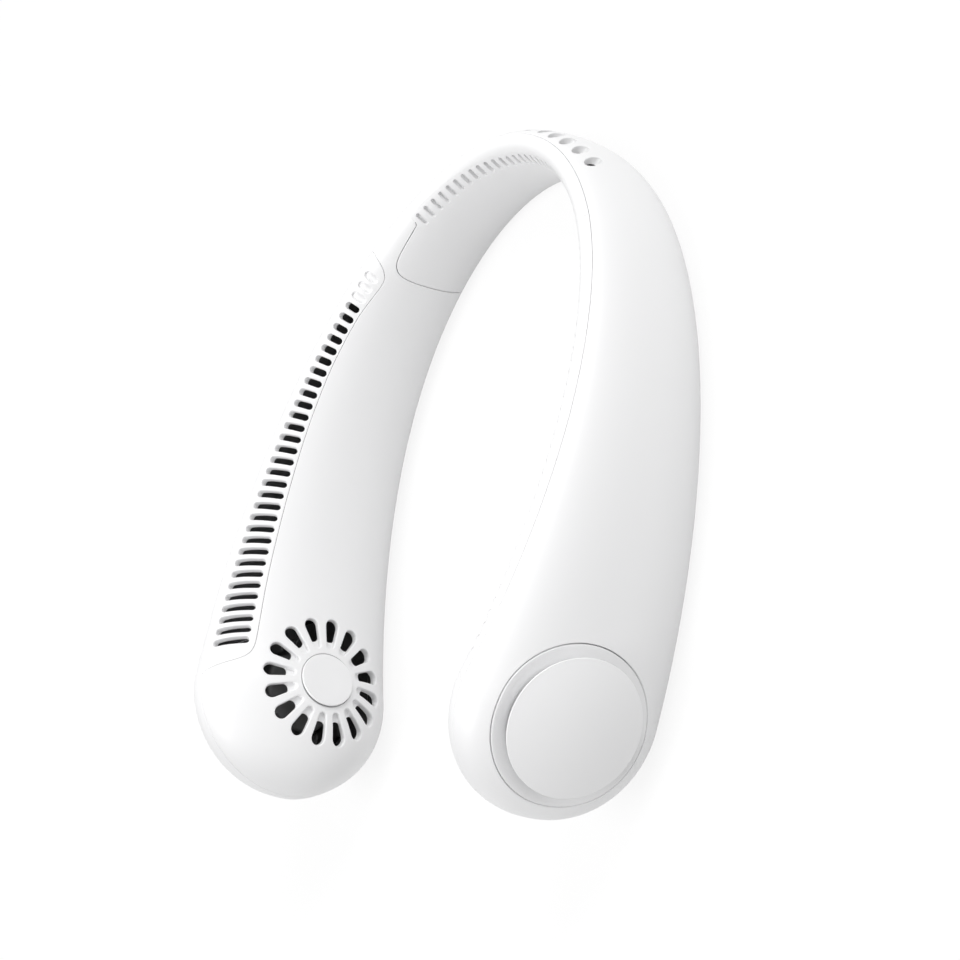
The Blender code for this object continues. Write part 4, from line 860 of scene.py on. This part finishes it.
# Outlet strips
# A slotted strip of the same white plastic is let into the crest of each arm. Its
# slots have round ends and grow longer towards the blower; three at the nape end are
# blind.
strip_wall = 0.0020
slot_width = 0.0020
slot_first, slot_pitch, slot_rim, blind_depth = 0.0764, 0.003517, 0.0003, 0.0007
slot_tops = ((76, 0.862), (90, 0.884), (97, 0.900), (110, 0.905), (125, 0.908), (158, 0.905),
             (182, 0.902))
slot_feet = ((76, 0.579), (90, 0.589), (100, 0.588), (108, 0.583), (115, 0.573), (125, 0.556), (140, 0.541),
             (157, 0.533), (182, 0.528))
sides = ((-1, "left"), (1, "right"))
for side, name in sides:
    strip_loop = closed_loop(strip, level_line(strip_end, strip_start, 300, seam_angle))
    if side < 0:
        strip_loop = counterclockwise(strip_loop * np.array([-1, 1]))
    slots = []
    for index in range(-3, 31):
        station = slot_first + slot_pitch * index
        lean = np.interp(station, (0.0764, 0.1819), (0.0003, -0.0006))
        ends = []
        for places, move in ((slot_tops, -lean), (slot_feet, lean)):
            share = np.interp(station * 1000, *np.transpose(places))
            ends.append(np.array([side * (station + move), share * quarter_girth(station)]))
        top, foot = skin(np.array(ends), False)
        flat = (ends[0] + ends[1]) / 2
        normal = normal_at(flat, False)
        long_way = unit(top - foot)
        wide_way = unit(np.cross(normal, long_way))
        outline = stadium(float(np.linalg.norm(top - foot)), slot_width, 10, 10)
        slot = drawn(outline, flat, False, (top + foot) / 2, long_way, wide_way)
        blind = index < 0
        depth = blind_depth if blind else strip_wall
        slots.append((rounded_rim(slot, False, slot_rim, False, [depth]), blind))
    strip_outline = parted(strip_loop, False, strip_wall)
    grille = moulding(f"outlet_strip_{name}_skin", False, strip_outline, slots, strip_wall, 0.0010)
    fitted(grille, "outlet_grille_" + name, "white_shell", satin_white, painted_shade_inside)

# Neck pad
# A soft silicone panel against the back of the neck, let into the inner shell, with
# a row of short grooves along its upper edge.
pad_thickness = 0.0022
groove_length, groove_width, groove_depth, groove_rim = 0.0042, 0.0014, 0.0013, 0.00014
groove_shares = ((0, 0.015, 0.022, 0.038, 0.0439), (0.496, 0.545, 0.557, 0.578, 0.599))
pad_bottom = level_line(-pad_end, pad_end, 300, 1.5 * math.pi)
pad_loop = closed_loop(pad_bottom, pad_half[::-1], mirrored(pad_half[::-1]))
grooves = []
for index in range(-12, 13):
    station = groove_step * index
    share = float(np.interp(abs(station), *groove_shares))
    flat = np.array([station, share * quarter_girth(abs(station))])
    by_x, by_y = slopes(flat, False)
    outline = stadium(groove_length, groove_width, 8, 8)
    slant = math.radians(-0.9 * index)
    long_way = unit(by_y) * math.cos(slant) + unit(by_x) * math.sin(slant)
    wide_way = unit(by_x) * math.cos(slant) - unit(by_y) * math.sin(slant)
    groove = drawn(outline, flat, False, skin(flat, False), long_way, wide_way)
    grooves.append((rounded_rim(groove, False, groove_rim, False, [groove_depth]), True))
neck_pad = moulding("neck_pad_skin", False, parted(pad_loop, False, pad_thickness), grooves, pad_thickness)
soft_white = moulded("soft_white", (0.885, 0.885, 0.89), 0.5)
fitted(neck_pad, "neck_pad", "white_pad", soft_white, painted_shade_inside)

# Cover rings
# A dished ring of the same white plastic sits in the opening of each round end. It
# carries the fan's back plate and falls from the shell's surface to a flat floor.
bezel_bore, bezel_sill, bezel_base, bezel_floor = 0.0070, 0.0162, 0.0085, 0.0101
turned_crease = 38


def arc(radius_place, height_place, radius, start, end, steps=6):
    """Part of a circle in a profile of radii and heights, between two angles."""
    turn = np.radians(np.linspace(start, end, steps + 1))
    return np.stack([radius_place + radius * np.cos(turn), height_place + radius * np.sin(turn)], -1)


def gridded(name, rows, wrap=False):
    """Mesh of blocks of rows of points. Each row closes on itself. The rows of a block
    close into a ring as well, or end in fans to the middles of its first and last row."""
    rows = np.asarray(rows, float)
    rows = rows.reshape(-1, *rows.shape[-3:])
    index = np.arange(rows[..., 0].size).reshape(rows.shape[:3])
    here, after = (index, np.roll(index, -1, 1)) if wrap else (index[:, :-1], index[:, 1:])
    quads = np.stack([here, after, np.roll(after, -1, 2), np.roll(here, -1, 2)], -1)
    points, faces = rows.reshape(-1, 3), quads.reshape(-1, 4).tolist()
    if not wrap:
        for row, back in ((0, False), (-1, True)):
            edge = index[:, row]
            ahead = np.roll(edge, -1, 1)
            centre = np.broadcast_to(len(points) + np.arange(len(rows))[:, None], edge.shape)
            fan = np.stack([centre, ahead, edge] if back else [centre, edge, ahead], -1)
            points = np.concatenate([points, rows[:, row].mean(1)])
            faces += fan.reshape(-1, 3).tolist()
    return meshed(name, points, faces, turned_crease)


def turned(axes, radii, heights, count=96):
    """Rows of a turned part: middle + radius (cos t, sin t) + height along the axis."""
    middle, first, second, outwards = axes
    turn = np.arange(count) * 2 * math.pi / count
    spread = (len(radii), count)
    radii = np.broadcast_to(np.reshape(radii, (len(radii), -1)), spread)[..., None]
    heights = np.broadcast_to(np.reshape(heights, (len(heights), -1)), spread)[..., None]
    across = np.cos(turn)[:, None] * first + np.sin(turn)[:, None] * second
    return middle + radii * across + heights * outwards


ring_count, lip, shoulder_power = 160, 0.00012, 1.8
bezel_floors = {}
for side, name in sides:
    axes = cover_axes(side)
    shape, reach = cover_opening(bezel_radius, ring_count, side)
    around = placed_on(shape, np.array([side * arm_length, 0.0]), True, *axes[:3])
    edge = (skin(around, True) - axes[0]) @ axes[3]
    floor_height = np.minimum(bezel_floor, edge - 0.0005)
    bezel_floors[side] = floor_height
    share = np.linspace(0, 1, 16)[:, None]
    channel_radii = bezel_sill + (reach - lip - bezel_sill) * share
    channel_heights = floor_height + (edge - floor_height) * (1 - (1 - share) ** shoulder_power)
    base = np.minimum(bezel_base, edge - 0.0019)
    bore = np.full(ring_count, bezel_bore)
    round_off = 0.3 * lip
    radii = np.stack([bore, bore + 0.004, *channel_radii, reach - round_off, reach, reach, bore])
    heights = np.stack([floor_height, floor_height, *channel_heights, edge - round_off, edge - lip,
                        base, base])
    ring = gridded("cover_ring_" + name, turned(axes, radii, heights, ring_count), True)
    fitted(ring, "cap_bezel_" + name, "white_shell", satin_white)

# Covers
# A shallow cup of the same plastic closes the outer face of each round end. Its face is
# slightly domed and rolls over a small edge into a wall that draws in towards the ring.
cap_radius, cap_edge, cap_wall, cap_rim, cap_dome = 0.0185, 0.00025, 0.0013, 0.0153, 0.0027
cap_neck, cap_thickness = 0.0157, 0.0020
cover_white = moulded("cover_white", (0.90, 0.90, 0.905), 0.30)
for side, name in sides:
    face_radii = np.linspace(0.0006, cap_radius - cap_edge, 24)
    fall = (face_radii / (cap_radius - cap_edge)) ** 2
    rolled = arc(cap_radius - cap_edge, cap_rim - cap_edge, cap_edge, 72, -60, 9)
    upper = np.concatenate([np.stack([face_radii, cap_rim + cap_dome * (1 - fall)], -1), rolled])
    foot = bezel_floors[side] + 0.0001
    inner_radii = [cap_neck, cap_neck - cap_wall, cap_radius - cap_thickness, 0.0006]
    ceiling = np.full(ring_count, cap_rim - cap_thickness)
    inner_heights = [foot, foot, ceiling, ceiling]
    radii = np.concatenate([upper[:, 0], inner_radii])
    heights = np.concatenate([np.repeat(upper[:, 1:], ring_count, 1), inner_heights])
    cover = gridded("cover_" + name, turned(cover_axes(side), radii, heights, ring_count))
    fitted(cover, "fan_cap_" + name, "white_cap", cover_white)

# Hub plates
# A thin round plate is pressed into the seat in the middle of each inlet. It is plain,
# with a bevelled edge.
plate_low, plate_high, plate_edge = -0.0006, 0.0, 0.00018
for side, name in sides:
    flat = np.array([side * (arm_length + inlet_shift[0]), inlet_shift[1]])
    point, ahead, _, normal = local_frame(flat, False)
    rolled = arc(badge_radius - plate_edge, plate_high - plate_edge, plate_edge, 90, 0, 4)
    profile = np.concatenate([[(0.0005, plate_high), (0.005, plate_high)], rolled,
                              [(badge_radius, plate_low), (0.0005, plate_low)]])
    axes = (point, ahead, np.cross(normal, ahead), normal)
    plate = gridded("hub_plate_" + name, turned(axes, profile[:, 0], profile[:, 1]))
    fitted(plate, "hub_badge_" + name, "white_cap", satin_white)

# Blower wheels
# A dark moulded wheel turns behind each inlet: a cup that holds the magnet ring, a back
# plate, and fifteen swept blades that stand on it.
wheel_radius, wheel_back, wheel_front, wheel_plate = 0.0178, 0.0040, -0.0072, 0.0010
hub_radius, hub_wall, hub_top, shaft_bore = 0.0117, 0.0012, -0.0050, 0.0013
blade_count, blade_inner, blade_outer, blade_thickness = 15, 0.0128, 0.0176, 0.0007
blade_sweep = math.radians(16)
rim_round, foot_round, nose_round, nose_drop = 0.0003, 0.0008, 0.0010, 0.0002
dark_moulding = moulded("dark_moulding", (0.17, 0.17, 0.173), 0.42, 1400.0)


def blade_rows(axes):
    """Rows of every blade: both faces of a strip swept by share^1.6 of the sweep, with a
    round nose and tail, carried from the wheel's front edge to its back plate."""
    middle, first, second, outwards = axes
    share = np.linspace(0, 1, 10)
    half = blade_thickness / 2 * np.sqrt(np.clip(1 - (2 * share - 1) ** 8, 0.02, 1))
    radius = blade_inner + (blade_outer - blade_inner) * share
    bend = blade_sweep * share**1.6
    offset = half / radius
    centre_turn = bend + blade_thickness / (2 * radius)
    outline_radii = np.concatenate([radius, radius[::-1]])
    outline_turns = np.concatenate([centre_turn - offset, (centre_turn + offset)[::-1]])
    levels = np.array([wheel_back - wheel_plate / 2, wheel_front + 0.0002, wheel_front])
    slim = np.array([1, 1, 0.6])
    middle_turns = np.concatenate([centre_turn, centre_turn[::-1]])
    turns = middle_turns + (outline_turns - middle_turns) * slim[:, None]
    starts = np.arange(blade_count) * 2 * math.pi / blade_count
    turns = (starts[:, None, None] + turns)[..., None]
    across = outline_radii[:, None] * (np.cos(turns) * first + np.sin(turns) * second)
    return middle + across + levels[:, None, None] * outwards


for side, name in sides:
    axes = fan_axes(side)
    plate_foot = wheel_back - wheel_plate
    cup = np.concatenate([[(shaft_bore, hub_top), (hub_radius - hub_wall, hub_top),
                           (hub_radius - hub_wall, wheel_back)],
                          arc(wheel_radius - rim_round, wheel_back - rim_round, rim_round, 90, 0, 4),
                          [(wheel_radius, plate_foot)],
                          arc(hub_radius + foot_round, plate_foot - foot_round, foot_round, 90, 180, 5),
                          arc(hub_radius - nose_round, hub_top - nose_drop, nose_round, 0, -90, 6),
                          [(shaft_bore, hub_top - hub_wall)]])
    wheel = gridded("wheel_cup_" + name, turned(axes, cup[:, 0], cup[:, 1]), True)
    blades = gridded("wheel_blades_" + name, blade_rows(axes)[:, ::-1])
    for piece in (wheel, blades):
        piece.data.materials.append(dark_moulding)
        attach(piece, "wheel_" + name)
    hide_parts("impeller_" + name)

# Power button and indicator
# A round white key stands a little proud of the left arm's outer face and works a switch
# behind it, and a small clear light guide ends flush above it.
button_proud, button_edge, button_dish = 0.0003, 0.0004, 0.00012
button_shelf, button_foot, button_flange = -0.0030, -0.0035, 0.0046
clear_lens, lens_shader = principled("clear_lens", (0.78, 0.86, 0.92), 0.12)
lens_shader.inputs["Transmission Weight"].default_value = 0.35
lens_tree = clear_lens.node_tree
lens_place = added(lens_tree, "TexCoord", {}).outputs["Object"]
lens_cloud = added(lens_tree, "TexNoise", {"Vector": lens_place, "Scale": 1500})
lens_tints = {"Fac": lens_cloud.outputs["Fac"], "Color1": (0.74, 0.83, 0.90, 1),
              "Color2": (0.84, 0.90, 0.95, 1)}
lens_tint = added(lens_tree, "MixRGB", lens_tints)
lens_tree.links.new(lens_tint.outputs["Color"], lens_shader.inputs["Base Color"])


def control_frame(node):
    """Axes of a control, whose middle is where its axis meets the shell's surface."""
    middle = node_middle(node)
    place = placed_on(np.zeros((1, 2)), control_flat, True, middle, control_along, upwards)
    surface = middle + control_out * ((skin(place, True)[0] - middle) @ control_out)
    return surface, control_along, np.cross(control_out, control_along), control_out


face_radii = np.linspace(0.0004, button_radius - button_edge, 10)
dish = button_proud - button_dish * (1 - (face_radii / face_radii[-1]) ** 2)
key = np.concatenate([np.stack([face_radii, dish], -1),
                      arc(button_radius - button_edge, button_proud - button_edge, button_edge, 85, 0, 6),
                      [(button_radius, button_shelf), (button_flange, button_shelf),
                       (button_flange, button_foot), (face_radii[0], button_foot)]])
button = gridded("power_key", turned(control_frame("power_button"), key[:, 0], key[:, 1], 64))
fitted(button, "power_button", "white_cap", cover_white, body="button")
lens_low, lens_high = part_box("indicator_lens")
lens_length = (lens_high.x - lens_low.x - 2 * light_radius * abs(control_out[1])) / abs(control_out[0])
guide_round, guide_foot = 0.0003, 0.0002 - lens_length
guide = np.concatenate([arc(light_radius - guide_round, -0.0004, guide_round, 80, 0, 5),
                        [(light_radius, guide_foot), (0.0001, guide_foot)]])
lens = gridded("light_guide", turned(control_frame("indicator_lens"), guide[:, 0], guide[:, 1], 32))
fitted(lens, "indicator_lens", "lens", clear_lens)

# Charging socket
# A drawn steel shroud with round ends stands on the board behind the mouth in the left
# arm's underside. A flat tongue stands inside it.
socket_wall = 0.0004
socket_low, socket_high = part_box("charging_socket")


def metal_noise(group, place, given):
    """Streaks of drawn metal, which also change its tone, and how strong they are."""
    stretched = added(group, "Mapping", {"Vector": place, "Scale": (400, 400, 4000)})
    streaks = added(group, "TexNoise", {"Vector": stretched.outputs["Vector"], "Scale": 1}).outputs["Fac"]
    return streaks, streaks, given["Streak"], given["Streak"]


metal_inputs = {"Colour": (0.6, 0.6, 0.6, 1), "Roughness": 0.3, "Streak": 0.1}
metal_group = surface_group("metal_grain", metal_inputs, metal_noise, (0.88, 1.06), 0.00001)


def bare_metal(name, colour, roughness, streak):
    """Metal with streaks of a strength."""
    return grained(metal_group, name, colour, roughness, {"Streak": streak}, 1.0)


drawn_steel = bare_metal("drawn_steel", (0.62, 0.62, 0.63), 0.26, 0.18)
socket_width, socket_thickness = 0.0090, 0.0033
socket_middle = node_middle("charging_socket") * np.array([1, 1, 0])
socket_back = socket_high.z - 3 * socket_wall
insets = (0, 0, 0.0002, 2 * socket_wall, 2 * socket_wall)
tongue = stadium(socket_width - 6 * socket_wall, 2 * socket_wall, 12, 6)
socket_shapes = [stadium(socket_width - inset, socket_thickness - inset, 12, 6) for inset in insets]
socket_shapes += [tongue, tongue]
socket_levels = (socket_high.z, socket_low.z + 0.0001, socket_low.z, socket_low.z, socket_back, socket_back,
                 socket_low.z + 2 * socket_wall)
socket_rows = np.stack([socket_middle + shape[:, :1] * control_along + shape[:, 1:] * control_out
                        + upwards * level for shape, level in zip(socket_shapes, socket_levels)])
socket = gridded("charging_shroud", socket_rows)
fitted(socket, "charging_socket", "steel", drawn_steel)

# Blower housings and duct floors
# Grey moulded bowls carry the motors and wrap round the wheels, and a curved shelf in
# each arm parts the air duct from the bay below it. The switch is of the same plastic.
grey_moulding = moulded("grey_moulding", (0.12, 0.12, 0.124), 0.5, 700.0, 0.4)


def finished(material, *nodes):
    """Puts a material into the slot of each CAD node."""
    for node in nodes:
        bpy.data.objects[node].material_slots[0].material = material


finished(grey_moulding, "power_switch")
for _, name in sides:
    finished(grey_moulding, "blower_housing_" + name, "duct_floor_" + name)

# Motors
# Each motor has a stator wound in enamelled copper, a ring of ferrite in the wheel's cup,
# a ground steel shaft and a sintered bronze bearing. Three steel screws hold it.
copper_wire, copper_shader = principled("copper_wire", (0.62, 0.28, 0.13), 0.34, 0.8)
wire_tree = copper_wire.node_tree
wire_place = added(wire_tree, "TexCoord", {}).outputs["Object"]
wire_turns = added(wire_tree, "TexWave", {"Vector": wire_place, "Scale": 900, "Distortion": 1.5},
                   bands_direction="DIAGONAL").outputs["Fac"]
# The wave that raises the turns also darkens the colour in the grooves between them: painted shade.
wire_groove_shade_tints = {"Fac": wire_turns, "Color1": (0.34, 0.12, 0.05, 1), "Color2": (0.72, 0.38, 0.20, 1)}
wire_groove_shade_tint = added(wire_tree, "MixRGB", wire_groove_shade_tints)
wire_bump = added(wire_tree, "Bump", {"Height": wire_turns, "Strength": 0.6, "Distance": 0.00008})
wire_tree.links.new(wire_groove_shade_tint.outputs["Color"], copper_shader.inputs["Base Color"])
wire_tree.links.new(wire_bump.outputs["Normal"], copper_shader.inputs["Normal"])
ferrite = moulded("ferrite", (0.055, 0.055, 0.06), 0.55, 1600.0, 0.5)
ground_steel = bare_metal("ground_steel", (0.64, 0.64, 0.65), 0.18, 0.10)
sintered_bronze = bare_metal("sintered_bronze", (0.56, 0.40, 0.20), 0.42, 0.25)
for _, name in sides:
    finished(copper_wire, "motor_stator_" + name)
    finished(ferrite, "rotor_magnet_" + name)
    finished(ground_steel, "motor_shaft_" + name, *[f"blower_screw_{name}_{number}" for number in (1, 2, 3)])
    finished(sintered_bronze, "bearing_" + name)

# Cells, board and cables
# A flat cell in a shrunk film lies in each arm. The green board stands behind the button,
# and soft black cables join them to the motors and to each other through the nape.
cell_film = moulded("cell_film", (0.10, 0.20, 0.36), 0.28, 260.0, 0.15)
soft_cable = moulded("soft_cable", (0.02, 0.02, 0.021), 0.6, 2200.0, 0.5)
board_mask, board_shader = principled("board_mask", (0.02, 0.12, 0.05), 0.3)
board_tree = board_mask.node_tree
board_place = added(board_tree, "TexCoord", {}).outputs["Object"]
board_look = {"Vector": board_place, "Scale": 420, "Mortar Size": 0.05, "Color1": (0.018, 0.11, 0.045, 1),
              "Color2": (0.022, 0.13, 0.055, 1), "Mortar": (0.05, 0.24, 0.10, 1)}
board_tracks = added(board_tree, "TexBrick", board_look)
board_tree.links.new(board_tracks.outputs["Color"], board_shader.inputs["Base Color"])
finished(cell_film, "battery_cell_left", "battery_cell_right")
finished(soft_cable, "nape_cable", "battery_lead", "motor_lead_left", "motor_lead_right")
finished(board_mask, "control_board")
